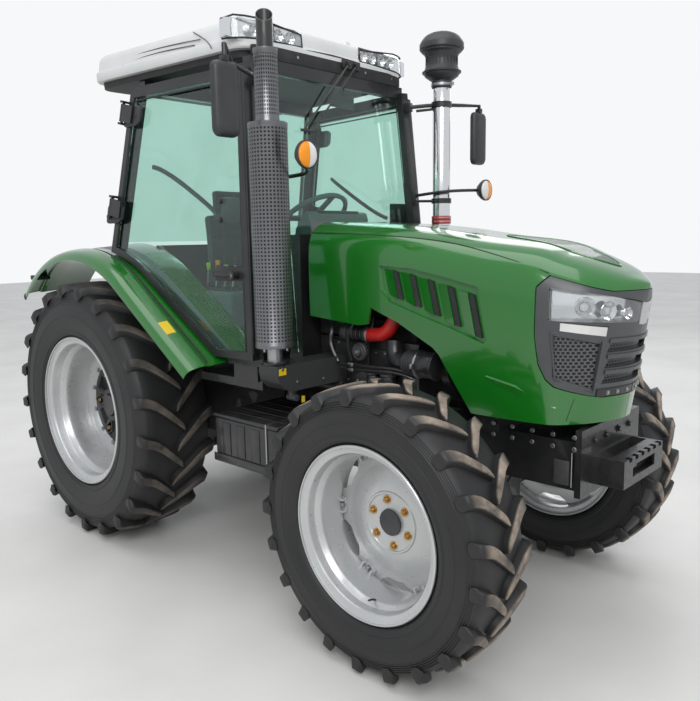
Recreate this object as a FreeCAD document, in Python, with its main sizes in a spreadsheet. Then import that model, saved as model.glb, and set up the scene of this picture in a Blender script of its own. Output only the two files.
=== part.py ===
import FreeCAD, Part
import Sketcher
import math
import os

# Farm tractor with a cab and four driven wheels, in millimetres.
# +X is forward, +Y is left, +Z is up, and the ground is at z = 0.
# Every sub-part is drawn from the rear axle's centreline, and its node is then moved
# along X by rear_axle_x, so that the origin lies under the middle of the whole machine.

Vector = FreeCAD.Vector
doc = FreeCAD.newDocument("Tractor")

# Driving sizes: name, value, what it is
SIZE_TABLE = [
    ("wheelbase", 2195, "rear axle to front axle"),
    ("link_reach", 800, "lower link, pivot to ball"),
    ("fit", 0.05, "radial clearance of a pin or shaft in its bore"),
    ("seam", 0.3, "clearance between pieces that only meet"),
    ("swing_gap", 8, "clearance round a piece that moves"),
    # Wheels
    ("rear_radius", 745, "rear tyre, over the lugs"),
    ("rear_half_width", 225, "rear tyre, half its section width"),
    ("rear_track_y", 696, "middle plane of a rear wheel"),
    ("rear_rim_r", 433, "rear rim, over the flanges"),
    ("rear_seat_r", 397, "rear rim, where the bead sits"),
    ("rear_rim_half", 211, "rear rim, half its width"),
    ("rear_lug", 42, "rear lug height"),
    ("rear_lug_width", 50, "rear lug thickness"),
    ("front_radius", 582, "front tyre, over the lugs"),
    ("front_half_width", 154, "front tyre, half its section width"),
    ("front_track_y", 743, "middle plane of a front wheel"),
    ("front_rim_r", 354, "front rim, over the flanges"),
    ("front_seat_r", 322, "front rim, where the bead sits"),
    ("front_rim_half", 141, "front rim, half its width"),
    ("front_lug", 36, "front lug height"),
    ("front_lug_width", 42, "front lug thickness"),
    ("lugs_per_side", 18, "lugs on each half of a tyre"),
    ("lug_sweep", 14, "degrees that a lug turns from its nose to the shoulder"),
    ("lug_nose", 12, "how far a lug's nose passes the middle of the tread"),
    ("rim_wall", 9, "rim thickness"),
    ("rear_ring_in", 250, "inner edge of the rear rim's own disc ring"),
    ("rear_disc_y", 664, "outer face of the rear rim's disc ring"),
    ("rear_centre_r", 275, "cast wheel centre radius"),
    ("rear_centre_wall", 18, "cast wheel centre thickness"),
    ("rear_hub_r", 105, "rear hub barrel radius"),
    ("rear_shaft_r", 45, "rear axle shaft radius"),
    ("window_in", 125, "inner end of a window in the cast centre"),
    ("window_out", 232, "outer end of such a window"),
    ("window_half_in", 26, "half the window's width at its inner end"),
    ("window_half_out", 62, "half the window's width at its outer end"),
    ("front_disc_y", 704, "outer face of the front wheel disc at its hub"),
    ("front_disc_wall", 10, "front disc thickness"),
    ("front_bore_r", 53, "front disc centre bore"),
    ("front_dish_r", 150, "where the front disc starts to cone"),
    ("front_dish_depth", 34, "how far the front disc steps in at its edge"),
    # Steering
    ("kingpin_y", 600, "kingpin axis"),
    ("kingpin_r", 22, "kingpin radius"),
    ("knuckle_reach", 150, "kingpin ears above and below the axle"),
    ("ear_wall", 26, "thickness of a kingpin ear"),
    ("hub_r", 118, "front hub carrier radius"),
    ("hub_in_y", 652, "inner face of the hub carrier"),
    ("boss_r", 45, "kingpin boss at the beam's end"),
    ("tie_eye_r", 22, "tie rod eye radius"),
    ("trunnion_r", 45, "axle trunnion radius"),
    ("arm_reach", 170, "steering arm length behind the kingpin"),
    ("tie_pin_r", 10, "tie rod ball pin radius"),
    ("tie_rod_r", 13, "tie rod radius"),
    ("beam_half_height", 62, "front axle beam"),
    ("beam_half_depth", 58, "front axle beam, front to back"),
    ("diff_r", 125, "differential housing radius"),
    ("diff_half", 90, "differential housing half length"),
    # Frame and driveline
    ("rail_y", 190, "middle of a front frame rail"),
    ("rail_half", 12, "half the thickness of a front frame rail"),
    ("rail_bottom", 700, "underside of the front frame rails"),
    ("rail_top", 900, "top of the front frame rails"),
    ("rail_front", 2790, "rear axle to the front end of the frame rails"),
    ("bar_reach", 135, "front end of the rails to the front of the ballast bar"),
    ("bolster_wall", 26, "front cross plate thickness"),
    ("bolster_half", 275, "front cross plate half width"),
    ("bolster_top", 970, "top of the front cross plate"),
    ("bar_half", 193, "ballast bar half width"),
    ("bar_top", 856, "top of the ballast bar"),
    ("bar_bottom", 745, "underside of the ballast bar"),
    ("bar_depth", 62, "ballast bar, front to back"),
    ("bar_wall", 10, "ballast bar plate thickness"),
    ("engine_rear", 1360, "rear face of the engine"),
    ("engine_gap", 205, "front face of the engine to the front axle"),
    ("engine_half", 250, "engine half width above the frame"),
    ("sump_half", 175, "sump half width"),
    ("sump_bottom", 545, "underside of the sump"),
    ("block_bottom", 860, "where the block widens"),
    ("block_top", 1230, "top of the block"),
    ("head_top", 1400, "top of the rocker cover"),
    ("head_half", 120, "rocker cover half width"),
    ("bell_rear", 1000, "rear face of the clutch housing"),
    ("bell_r", 190, "clutch housing radius"),
    ("drive_z", 800, "height of the crankshaft and gearbox"),
    ("gearbox_half", 190, "gearbox half width"),
    ("gearbox_bottom", 540, "underside of the gearbox"),
    ("gearbox_top", 960, "top of the gearbox"),
    ("axle_house_front", 240, "front face of the rear axle housing"),
    ("axle_house_rear", 215, "rear face of the rear axle housing, behind the axle"),
    ("axle_house_half", 225, "rear axle housing half width"),
    ("axle_house_bottom", 520, "underside of the rear axle housing"),
    ("axle_house_top", 990, "top of the rear axle housing"),
    ("trumpet_big_r", 150, "axle trumpet radius at the housing"),
    ("trumpet_small_r", 100, "axle trumpet radius at the wheel"),
    ("trumpet_end_y", 600, "outer end of an axle trumpet"),
    ("flange_r", 95, "axle flange radius"),
    ("radiator_rear", 2300, "rear face of the radiator"),
    ("radiator_front", 2420, "front face of the radiator"),
    ("radiator_half", 265, "radiator half width"),
    ("radiator_top", 1430, "top of the radiator"),
    ("fan_r", 215, "fan radius"),
    ("fan_z", 1160, "fan height"),
    # Cab
    ("floor_z", 1000, "underside of the cab floor"),
    ("floor_wall", 40, "cab floor thickness"),
    ("floor_rear", 60, "rear end of the cab floor"),
    ("well_half", 440, "cab floor half width between the wheels"),
    ("step_half", 640, "cab floor half width in front of the wheels"),
    ("step_rear", 860, "where the cab floor widens"),
    ("cowl_x", 1352, "front face of the fire wall"),
    ("cowl_wall", 16, "fire wall thickness"),
    ("cowl_top", 1735, "top of the fire wall"),
    ("cowl_half", 372, "fire wall half width"),
    ("side_yaw", 5, "degrees that the cab side closes in towards the front"),
    ("side_lean", 3.5, "degrees that the cab side leans in"),
    ("side_x", 230, "cab side datum, along X"),
    ("side_y", 768, "cab side datum, outer face"),
    ("side_z", 1500, "cab side datum, height"),
    ("side_wall", 42, "cab side thickness"),
    ("door_wall", 34, "door frame thickness"),
    ("post", 60, "width of a cab post"),
    ("door_gap", 14, "gap between the door's lower edge and the fender"),
    ("door_low", -350, "bottom edge of the door, from the cab side's datum"),
    ("door_top", 1000, "top edge of the door, from the cab side's datum"),
    ("door_toe", 267, "length of the door's bottom edge"),
    ("door_rake", 94, "how far the door's front edge runs back on its way up"),
    ("door_rear_top", 195, "rear edge of the door at its top, from the datum"),
    ("door_edge", 36, "width of the door frame"),
    ("glass", 6, "glass thickness"),
    ("roof_rear", 5, "rear edge of the roof"),
    ("roof_front", 1245, "front edge of the roof"),
    ("roof_half_rear", 690, "roof half width at its rear"),
    ("roof_half_front", 600, "roof half width at its front"),
    ("roof_low", 2560, "underside of the roof"),
    ("roof_lip", 2640, "top of the roof's side band"),
    ("roof_top", 2752, "top of the roof"),
    ("roof_draft", 32, "how far the top steps in from the band"),
    # Fenders
    ("fender_r", 958, "fender radius at its inner edge"),
    ("fender_fall", 40, "how much lower the outer edge lies"),
    ("fender_wall", 8, "fender thickness"),
    ("fender_in", 448, "inner edge of a fender"),
    ("fender_out", 900, "outer edge of a fender"),
    ("fender_rear_deg", 134.5, "where the arc starts at the rear"),
    ("fender_front_deg", 55.7, "where the arc turns into the front slope"),
    ("fender_front_x", 1136, "front end of a fender"),
    ("fender_lip", 34, "depth of the fender's outer lip"),
    # Hood
    ("hood_rear", 1400, "rear edge of the hood"),
    ("hood_nose", 2916, "tip of the hood"),
    ("hood_half", 362, "hood half width"),
    ("hood_wall", 12, "hood panel thickness"),
    ("hood_bottom", 985, "underside of the hood's chin"),
    ("hinge_x", 1430, "hood hinge pin"),
    ("hinge_z", 1708, "hood hinge pin height"),
    ("hinge_r", 10, "hood hinge pin radius"),
    # Exhaust and intake
    ("stack_x", 1480, "exhaust stack axis"),
    ("stack_y", 666, "exhaust stack axis, to the right"),
    ("stack_r", 88, "lower guard radius"),
    ("stack_low", 1227, "bottom of the lower guard"),
    ("stack_mid", 2216, "top of the lower guard"),
    ("upper_r", 54, "upper guard radius"),
    ("upper_top", 2525, "top of the upper guard"),
    ("tail_r", 37, "tail pipe radius"),
    ("tail_top", 2709, "tip of the tail pipe"),
    ("guard_wall", 3, "guard thickness"),
    ("shield_top", 1147, "top of the exhaust elbow's shield"),
    ("shield_low", 1022, "underside of the exhaust elbow's shield"),
    ("intake_x", 1450, "intake pipe axis"),
    ("intake_y", 664, "intake pipe axis, to the left"),
    ("intake_r", 50, "intake pipe radius"),
    ("cleaner_height", 303, "top of the intake pipe to the top of the precleaner"),
    ("cleaner_r", 125, "precleaner radius"),
    ("cleaner_top", 2843, "top of the precleaner"),
    # Hitch
    ("hitch_x", 140, "hitch pivots, behind the axle"),
    ("lower_z", 520, "lower link pivots"),
    ("rock_z", 1030, "lift shaft axis"),
    ("lift_reach", 290, "lift arm length, and lower link pivot to lift rod pin"),
    ("lower_in_y", 250, "lower link, at its pivot"),
    ("ball_y", 412, "lower link, at its ball"),
    ("ball_r", 44, "lower link ball eye radius"),
    ("ball_bore_r", 14.4, "lower link pin bore"),
    ("link_half", 11, "half the thickness of a lower link"),
    ("link_high", 34, "half the height of a lower link"),
    ("lift_y", 318, "lift arm, middle plane"),
    ("rod_r", 15, "lift rod radius"),
    ("lift_pin_r", 12, "lift rod pin radius"),
    ("top_z", 830, "top link pivot"),
    ("top_x", 262, "top link pivot, behind the axle"),
    ("top_length", 480, "top link length"),
    ("top_bore_r", 12.8, "top link pin bore"),
    ("pto_r", 17.46, "power take-off shaft radius"),
    ("pto_z", 640, "power take-off shaft height"),
    ("pto_end", 330, "end of the power take-off shaft, behind the axle"),
    ("drawbar_end", 560, "drawbar eye, behind the axle"),
    ("drawbar_z", 400, "drawbar middle"),
    ("drawbar_pin_r", 16.5, "drawbar pin hole"),
]


class Size:
    """A size with its value and the words that give it in the sheet."""

    def __init__(self, value, words):
        self.value = float(value)
        self.words = words

    def __add__(self, other):
        return joined(self, "+", other, self.value + worth(other))

    def __radd__(self, other):
        return joined(other, "+", self, worth(other) + self.value)

    def __sub__(self, other):
        return joined(self, "-", other, self.value - worth(other))

    def __rsub__(self, other):
        return joined(other, "-", self, worth(other) - self.value)

    def __mul__(self, other):
        return joined(self, "*", other, self.value * worth(other))

    def __rmul__(self, other):
        return joined(other, "*", self, worth(other) * self.value)

    def __truediv__(self, other):
        return joined(self, "/", other, self.value / worth(other))

    def __neg__(self):
        return joined(0, "-", self, -self.value)


def worth(size):
    """The number behind a size or a plain number."""
    return size.value if isinstance(size, Size) else float(size)


def words(size):
    """The words behind a size or a plain number."""
    return size.words if isinstance(size, Size) else repr(float(size))


def joined(left, sign, right, value):
    return Size(value, f"({words(left)} {sign} {words(right)})")


def sine(angle):
    return Size(math.sin(math.radians(worth(angle))), f"sin({words(angle)} * 1deg)")


def cosine(angle):
    return Size(math.cos(math.radians(worth(angle))), f"cos({words(angle)} * 1deg)")


class Sizes:
    """The sheet of driving sizes, each read by its name."""

    def __init__(self, table):
        self.sheet = doc.addObject("Spreadsheet::Sheet", "Sizes")
        for row, (name, value, meaning) in enumerate(table, 2):
            self.sheet.set(f"A{row}", name)
            self.sheet.set(f"B{row}", str(value))
            self.sheet.set(f"C{row}", meaning)
            self.sheet.setAlias(f"B{row}", name)
            setattr(self, name, Size(value, f"Sizes.{name}"))
        doc.recompute()


S = Sizes(SIZE_TABLE)

# Places that follow from the driving sizes
link_end = S.hitch_x + S.link_reach + S.ball_r
front_reach = S.rail_front + S.bar_reach
rear_axle_x = (link_end - front_reach) / 2
engine_front = S.wheelbase - S.engine_gap
intake_top = S.cleaner_top - S.cleaner_height
NODES = []


def point(x, y, z):
    return Vector(worth(x), worth(y), worth(z))


def bind(thing, **sizes):
    """Ties properties of an object to sizes."""
    for name, size in sizes.items():
        thing.setExpression(name, words(size))


def place(thing, x=0, y=0, z=0):
    for letter, size in (("x", x), ("y", y), ("z", z)):
        thing.setExpression(f"Placement.Base.{letter}", words(size))


def box(x, y, z):
    """A block between low and high values along each axis."""
    block = doc.addObject("Part::Box", "Block")
    bind(block, Length=x[1] - x[0], Width=y[1] - y[0], Height=z[1] - z[0])
    place(block, x[0], y[0], z[0])
    return block


TURNS = {
    "X": FreeCAD.Rotation(Vector(0, 1, 0), 90),
    "Y": FreeCAD.Rotation(Vector(1, 0, 0), -90),
    "Z": FreeCAD.Rotation(),
}


def along(axis, start, centre):
    """The point at start along an axis whose other two coordinates are centre."""
    where = {"X": (start, *centre), "Y": (centre[0], start, centre[1]), "Z": (*centre, start)}
    return where[axis]


def rod(axis, centre, radius, start, end):
    """A cylinder along an axis, from start to end."""
    bar = doc.addObject("Part::Cylinder", "Rod")
    bind(bar, Radius=radius, Height=end - start)
    bar.Placement = FreeCAD.Placement(Vector(), TURNS[axis])
    place(bar, *along(axis, start, centre))
    return bar


def cone(axis, centre, radii, start, end):
    """A cone along an axis, with its radii at start and end."""
    taper = doc.addObject("Part::Cone", "Taper")
    bind(taper, Radius1=radii[0], Radius2=radii[1], Height=end - start)
    taper.Placement = FreeCAD.Placement(Vector(), TURNS[axis])
    place(taper, *along(axis, start, centre))
    return taper


def fuse(*things):
    joint = doc.addObject("Part::MultiFuse", "Joined")
    joint.Shapes = list(things)
    joint.Refine = True
    return joint


def cut(base, *tools):
    left = doc.addObject("Part::Cut", "Opened")
    left.Base = base
    left.Tool = tools[0] if len(tools) == 1 else fuse(*tools)
    left.Refine = True
    return left


def common(first, second):
    both = doc.addObject("Part::Common", "Shared")
    both.Base = first
    both.Tool = second
    both.Refine = True
    return both


def mirror(thing):
    """The same piece on the other side of the machine."""
    twin = doc.addObject("Part::Mirroring", "Twin")
    twin.Source = thing
    twin.Normal = Vector(0, 1, 0)
    return twin


def group(*things):
    """Like pieces that don't touch, kept in one sub-part."""
    together = doc.addObject("Part::Compound", "Set")
    together.Links = list(things)
    return together


def pair(thing):
    return group(thing, mirror(thing))


def drawn(shape, name="Form"):
    """A form that has no feature of its own."""
    form = doc.addObject("Part::Feature", name)
    form.Shape = shape
    return form


def arc_between(start, end, radius):
    """The arc from start to end: a positive radius bulges to the right of the way from start to end."""
    middle = (start + end) / 2
    chord = end - start
    reach = math.sqrt(max(radius * radius - chord.Length**2 / 4, 0.0))
    side = Vector(-chord.y, chord.x, 0).normalize()
    centre = middle + side * math.copysign(reach, radius)
    first = math.atan2(start.y - centre.y, start.x - centre.x)
    last = math.atan2(end.y - centre.y, end.x - centre.x)
    if radius < 0:
        first, last = last, first
    return Part.ArcOfCircle(Part.Circle(centre, Vector(0, 0, 1), abs(radius)), first, last)


def sketch(body, plane, offset, path, holes=()):
    """A closed outline: each corner is (u, v), or (u, v, radius) where an arc leads to it."""
    drawing = body.newObject("Sketcher::SketchObject", "Outline")
    role = next(f for f in body.Origin.OriginFeatures if f.Role == plane)
    drawing.AttachmentSupport = [(role, "")]
    drawing.MapMode = "FlatFace"
    drawing.setExpression("AttachmentOffset.Base.z", words(offset))
    corners = [Vector(worth(c[0]), worth(c[1]), 0) for c in path]
    ties = []
    values = []
    for i, corner in enumerate(path):
        start, end = corners[i - 1], corners[i]
        # A line or a rightward arc starts where the last one ended, and a leftward arc runs the other way round
        if len(corner) == 3:
            drawing.addGeometry(arc_between(start, end, worth(corner[2])), False)
        else:
            drawing.addGeometry(Part.LineSegment(start, end), False)
    ends = [(1, 2) if len(c) == 2 or worth(c[2]) > 0 else (2, 1) for c in path]
    for i, corner in enumerate(path):
        last = (i + 1) % len(path)
        ties.append(Sketcher.Constraint("Coincident", i, ends[i][1], last, ends[last][0]))
    for i, corner in enumerate(path):
        ties.append(Sketcher.Constraint("DistanceX", -1, 1, i, ends[i][1], worth(corner[0])))
        values.append((len(ties) - 1, corner[0]))
        ties.append(Sketcher.Constraint("DistanceY", -1, 1, i, ends[i][1], worth(corner[1])))
        values.append((len(ties) - 1, corner[1]))
        if len(corner) == 3:
            ties.append(Sketcher.Constraint("Radius", i, abs(worth(corner[2]))))
            values.append((len(ties) - 1, corner[2] if worth(corner[2]) > 0 else -corner[2]))
    for j, (u, v, radius) in enumerate(holes, len(path)):
        drawing.addGeometry(Part.Circle(Vector(worth(u), worth(v), 0), Vector(0, 0, 1), worth(radius)), False)
        ties.append(Sketcher.Constraint("DistanceX", -1, 1, j, 3, worth(u)))
        values.append((len(ties) - 1, u))
        ties.append(Sketcher.Constraint("DistanceY", -1, 1, j, 3, worth(v)))
        values.append((len(ties) - 1, v))
        ties.append(Sketcher.Constraint("Radius", j, worth(radius)))
        values.append((len(ties) - 1, radius))
    drawing.addConstraint(ties)
    for index, size in values:
        if isinstance(size, Size):
            drawing.setExpression(f"Constraints[{index}]", size.words)
    return drawing


def pad(plane, path, low, high, holes=()):
    """A plate with the given outline, from low to high along the axis across its plane."""
    body = doc.addObject("PartDesign::Body", "Plate")
    backwards = plane == "XZ_Plane"
    drawing = sketch(body, plane, -low if backwards else low, path, holes)
    feature = body.newObject("PartDesign::Pad", "Thick")
    feature.Profile = drawing
    feature.Reversed = backwards
    bind(feature, Length=high - low)
    return body


def turned(path):
    """A piece turned about the Y axis: each corner is (radius, y)."""
    body = doc.addObject("PartDesign::Body", "Turned")
    drawing = sketch(body, "XY_Plane", 0, path)
    feature = body.newObject("PartDesign::Revolution", "Spin")
    feature.Profile = drawing
    feature.ReferenceAxis = (drawing, ["V_Axis"])
    feature.Angle = 360
    return body


def pipe(points, radius):
    """A round bar or hose through points, mitred at each corner."""
    ways = [point(*p) for p in points]
    path = Part.makePolygon(ways)
    ring = Part.Wire(Part.Circle(ways[0], ways[1] - ways[0], worth(radius)).toShape())
    return drawn(path.makePipeShell([ring], True, False, 1), "Pipe")


def faceted(corner_lists):
    """A closed solid of flat faces."""
    faces = [Part.Face(Part.makePolygon(list(corners) + [corners[0]])) for corners in corner_lists]
    shell = Part.makeShell(faces)
    shell.sewShape()
    solid = Part.makeSolid(shell)
    if solid.Volume < 0:
        solid.reverse()
    return solid


def ruled(sections):
    """A solid with straight sides between closed sections."""
    wires = [Part.makePolygon(list(s) + [s[0]]) for s in sections]
    return Part.makeLoft(wires, True, True)


def node(label, thing, x=0, y=0, z=0):
    """Names a sub-part and puts it where it belongs along the machine."""
    if thing.TypeId in ("Part::Feature", "Part::Box", "Part::Cylinder"):
        thing = group(thing)
    thing.Label = label
    place(thing, rear_axle_x + x, y, z)
    NODES.append(thing)


# Wheels
def wheel_point(radius, across, angle):
    turn = math.radians(angle)
    return Vector(radius * math.cos(turn), across, radius * math.sin(turn))


def tyre(radius, half_width, seat, rim_half, lug, lug_width):
    """A lugged tyre about the Y axis. Its flat facets are as many as its lugs."""
    radius, half_width, lug = worth(radius), worth(half_width), worth(lug)
    lugs = int(worth(S.lugs_per_side))
    facets = 2 * lugs
    step = 360 / facets
    tread = radius - lug
    bore = (worth(seat) + worth(S.seam)) / math.cos(math.radians(step / 2))
    bead = worth(rim_half) - 26
    flank = bore + 0.45 * (tread - bore)
    shoulder = 0.88 * half_width
    # Ring corners: radius, distance from the middle plane
    ring = [(bore, -bead), (flank, -half_width), (tread, -shoulder)]
    ring += [(r, -y) for r, y in reversed(ring)]
    quads = []
    for k in range(facets):
        a, b = k * step, (k + 1) * step
        for (r0, y0), (r1, y1) in zip(ring[-1:] + ring[:-1], ring):
            quads.append([wheel_point(r0, y0, a), wheel_point(r1, y1, a), wheel_point(r1, y1, b), wheel_point(r0, y0, b)])
    carcass = faceted(quads)
    half = math.degrees(worth(lug_width) / radius) / 2
    sweep = worth(S.lug_sweep)
    # Lug ends: distance across, root radius, crest radius, half thickness in degrees at root and crest
    sink = 18
    bars = []
    for k in range(facets):
        side = 1 if k % 2 else -1
        middle = (k + 0.5) * step
        nose = (-side * worth(S.lug_nose), tread - sink, radius, half, 0.8 * half, middle - sweep / 2)
        tail = (side * shoulder, tread - 1.6 * sink, radius - 7, 1.2 * half, half, middle + sweep / 2)
        root = []
        crest = []
        for (across, low, high, wide, slim, angle), order in ((nose, (-1, 1)), (tail, (1, -1))):
            root += [wheel_point(low, across, angle + sign * wide) for sign in order]
            crest += [wheel_point(high, across, angle + sign * slim) for sign in order]
        corners = [[root[0], root[1], root[2]], [root[0], root[2], root[3]]]
        corners += [[crest[0], crest[1], crest[2]], [crest[0], crest[2], crest[3]]]
        for i in range(4):
            corners += [[root[i - 1], root[i], crest[i]], [root[i - 1], crest[i], crest[i - 1]]]
        bars.append(faceted(corners))
    return carcass.multiFuse(bars).removeSplitter()


def rim_path(rim_r, seat_r, half):
    """Half of a rim's section, flange to flange: (radius, distance from the middle plane)."""
    inner = seat_r - S.rim_wall
    return [(inner, -half), (rim_r, -half), (seat_r, 24 - half), (seat_r, half - 24), (rim_r, half), (inner, half)]


def around(make, count, start=0):
    """Copies of a piece turned evenly about the Y axis."""
    things = []
    for k in range(count):
        thing = make()
        turn = FreeCAD.Rotation(Vector(0, 1, 0), start + 360 * k / count)
        thing.Placement = FreeCAD.Placement(Vector(), turn).multiply(thing.Placement)
        things.append(thing)
    return things


def disc_window(low, high):
    """A four-sided window through the cast centre: wide towards the rim, narrow towards the hub."""
    return pad("XZ_Plane", [
        (S.window_in, -S.window_half_in),
        (S.window_out, -S.window_half_out),
        (S.window_out, S.window_half_out),
        (S.window_in, S.window_half_in),
    ], low, high)


def rear_rim():
    """The silver rim with its own flat disc ring, outer face towards +Y."""
    barrel = turned(rim_path(S.rear_rim_r, S.rear_seat_r, S.rear_rim_half))
    face = S.rear_disc_y - S.rear_track_y
    inner = S.rear_seat_r - S.rim_wall
    ring = turned([
        (S.rear_ring_in, face - S.rim_wall),
        (inner + 2, face - S.rim_wall),
        (inner + 2, face),
        (S.rear_ring_in, face),
    ])
    return fuse(barrel, ring)


def rear_centre():
    """The dark cast centre, bolted to the inner side of the rim's ring."""
    back = S.rear_disc_y - S.rear_track_y - S.rim_wall
    plate = turned([
        (S.rear_shaft_r + S.fit, back - S.rear_centre_wall),
        (S.rear_centre_r, back - S.rear_centre_wall),
        (S.rear_centre_r, back),
        (S.rear_hub_r, back),
        (S.rear_hub_r - 12, back + 46),
        (S.rear_shaft_r + S.fit, back + 46),
    ])
    windows = around(lambda: disc_window(back - 30, back + 10), 6, 30)
    return cut(plate, *windows)


def front_rim():
    """The silver rim with its coned disc, outer face towards +Y."""
    barrel = turned(rim_path(S.front_rim_r, S.front_seat_r, S.front_rim_half))
    face = S.front_disc_y - S.front_track_y
    edge = face - S.front_dish_depth
    inner = S.front_seat_r - S.rim_wall
    disc = turned([
        (S.front_bore_r, face - S.front_disc_wall),
        (S.front_dish_r, face - S.front_disc_wall),
        (inner + 2, edge - S.front_disc_wall),
        (inner + 2, edge),
        (S.front_dish_r, face),
        (S.front_bore_r, face),
    ])
    return fuse(barrel, disc)


def wheel_turn(thing, side):
    """A wheel's outer face looks to +Y on the left and is turned about Z on the right."""
    if side < 0:
        thing.Placement = FreeCAD.Placement(Vector(), FreeCAD.Rotation(Vector(0, 0, 1), 180))
    return thing


def make_wheels():
    rear_tyre = tyre(S.rear_radius, S.rear_half_width, S.rear_seat_r, S.rear_rim_half, S.rear_lug, S.rear_lug_width)
    front_tyre = tyre(
        S.front_radius, S.front_half_width, S.front_seat_r, S.front_rim_half, S.front_lug, S.front_lug_width
    )
    for side, name in ((1, "left"), (-1, "right")):
        rear = (0, side * S.rear_track_y, S.rear_radius)
        front = (S.wheelbase, side * S.front_track_y, S.front_radius)
        node(f"tyre_rear_{name}", drawn(rear_tyre), *rear)
        node(f"rim_rear_{name}", wheel_turn(rear_rim(), side), *rear)
        node(f"wheel_centre_{name}", wheel_turn(rear_centre(), side), *rear)
        node(f"tyre_front_{name}", drawn(front_tyre), *front)
        node(f"rim_front_{name}", wheel_turn(front_rim(), side), *front)


# Steering and front axle
def knuckle(side):
    """Ears round the beam's end, the kingpin, the hub carrier and its spigot, and the steering arm."""
    x, z = S.wheelbase, S.front_radius
    face = S.front_disc_y - S.front_disc_wall - S.seam
    ear = S.knuckle_reach - S.ear_wall
    pieces = [
        rod("Z", (x, S.kingpin_y), S.kingpin_r, z - S.knuckle_reach, z + S.knuckle_reach),
        box((x - 50, x + 50), (S.hub_in_y, face - 4), (z - S.knuckle_reach, z + S.knuckle_reach)),
        rod("Y", (x, z), S.hub_r, S.hub_in_y, face),
        rod("Y", (x, z), S.front_bore_r - S.fit, face - 10, S.front_disc_y + 6),
        box((x - S.arm_reach - 18, x), (S.kingpin_y - 20, S.kingpin_y + 20), (z - S.knuckle_reach, z - ear - 8)),
        rod("Z", (x - S.arm_reach, S.kingpin_y), S.tie_pin_r, z - S.knuckle_reach, z - ear + 20),
    ]
    for low, high in ((z - S.knuckle_reach, z - ear), (z + ear, z + S.knuckle_reach)):
        pieces.append(rod("Z", (x, S.kingpin_y), S.boss_r, low, high))
        pieces.append(box((x - S.boss_r, x + S.boss_r), (S.kingpin_y, S.hub_in_y + 10), (low, high)))
    left = fuse(*pieces)
    return left if side > 0 else mirror(left)


def front_axle():
    """Beam with its differential, trunnions and bored kingpin bosses."""
    x, z = S.wheelbase, S.front_radius
    boss = S.knuckle_reach - S.ear_wall - S.swing_gap
    pieces = [
        box((x - S.beam_half_depth, x + S.beam_half_depth), (20 - S.kingpin_y, S.kingpin_y - 20),
            (z - S.beam_half_height, z + S.beam_half_height)),
        rod("X", (0, z), S.diff_r, x - S.diff_half, x + S.diff_half),
        rod("X", (0, z), S.trunnion_r - S.fit, x - S.diff_half - 50, x + S.diff_half + 50),
    ]
    for side in (-1, 1):
        pieces.append(cone("Y", (x, z), (70, 98) if side < 0 else (98, 70), -260 if side < 0 else 60, -60 if side < 0 else 260))
        pieces.append(rod("Z", (x, side * S.kingpin_y), S.boss_r, z - boss, z + boss))
    bores = [rod("Z", (x, side * S.kingpin_y), S.kingpin_r + S.fit, z - boss - 1, z + boss + 1) for side in (-1, 1)]
    return cut(fuse(*pieces), *bores)


def tie_rod():
    x, z = S.wheelbase - S.arm_reach, S.front_radius - S.knuckle_reach + S.ear_wall
    pieces = [rod("Y", (x, z + 11), S.tie_rod_r, 10 - S.kingpin_y, S.kingpin_y - 10)]
    bores = []
    for side in (-1, 1):
        pieces.append(rod("Z", (x, side * S.kingpin_y), S.tie_eye_r, z - 3, z + 22))
        bores.append(rod("Z", (x, side * S.kingpin_y), S.tie_pin_r + S.fit, z - 10, z + 30))
    return cut(fuse(*pieces), *bores)


def front_frame():
    """Two side rails with hangers for the axle's trunnions, a radiator tray and a front cross plate."""
    x, z = S.wheelbase, S.front_radius
    out, inside = S.rail_y + S.rail_half, S.rail_y - S.rail_half
    pieces = [
        box((S.rail_front - S.bolster_wall, S.rail_front), (-S.bolster_half, S.bolster_half),
            (S.rail_bottom, S.bolster_top)),
        box((S.radiator_rear - 20, S.rail_front - S.bolster_wall), (-out, out), (S.rail_top - 12, S.rail_top)),
        box((S.rail_front - 190, S.rail_front), (-out, out), (S.rail_bottom, S.rail_bottom + 14)),
    ]
    for side in (-1, 1):
        low, high = (inside, out) if side > 0 else (-out, -inside)
        pieces.append(box((engine_front, S.rail_front), (low, high), (S.rail_bottom, S.rail_top)))
    bores = []
    for reach in (-1, 1):
        low = x - S.diff_half - 46 if reach < 0 else x + S.diff_half + 10
        pieces.append(box((low, low + 36), (-out, out), (S.rail_bottom, S.rail_bottom + 60)))
        pieces.append(box((low, low + 36), (-S.trunnion_r - 30, S.trunnion_r + 30), (z - 75, S.rail_bottom + 1)))
        bores.append(rod("X", (0, z), S.trunnion_r, low - 1, low + 37))
    return cut(fuse(*pieces), *bores)


def ballast_bracket():
    """Bent plate bar for front weights, open behind, with a notched top edge."""
    back = S.rail_front
    front = front_reach
    bar = box((front - S.bar_depth, front), (-S.bar_half, S.bar_half), (S.bar_bottom, S.bar_top))
    hollow = box((front - S.bar_depth - 1, front - S.bar_wall), (S.bar_wall - S.bar_half, S.bar_half - S.bar_wall),
                 (S.bar_bottom + S.bar_wall, S.bar_top - S.bar_wall))
    window = box((front - S.bar_wall - 1, front + 1), (-110, 110), (S.bar_bottom + 32, S.bar_top - 32))
    notches = [box((front - 20, front + 1), (-150 + 60 * k, -120 + 60 * k), (S.bar_top - 14, S.bar_top + 1))
               for k in range(6)]
    arms = []
    for side in (-1, 1):
        inner = side * S.bar_half - (S.bar_wall if side > 0 else 0)
        arms.append(box((back, front - 5), (inner, inner + S.bar_wall), (S.bar_bottom, S.bar_top)))
    plate = box((back, back + S.bar_wall), (-S.bar_half, S.bar_half), (S.bar_bottom, S.bar_top))
    return cut(fuse(bar, plate, *arms), hollow, window, *notches)


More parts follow.
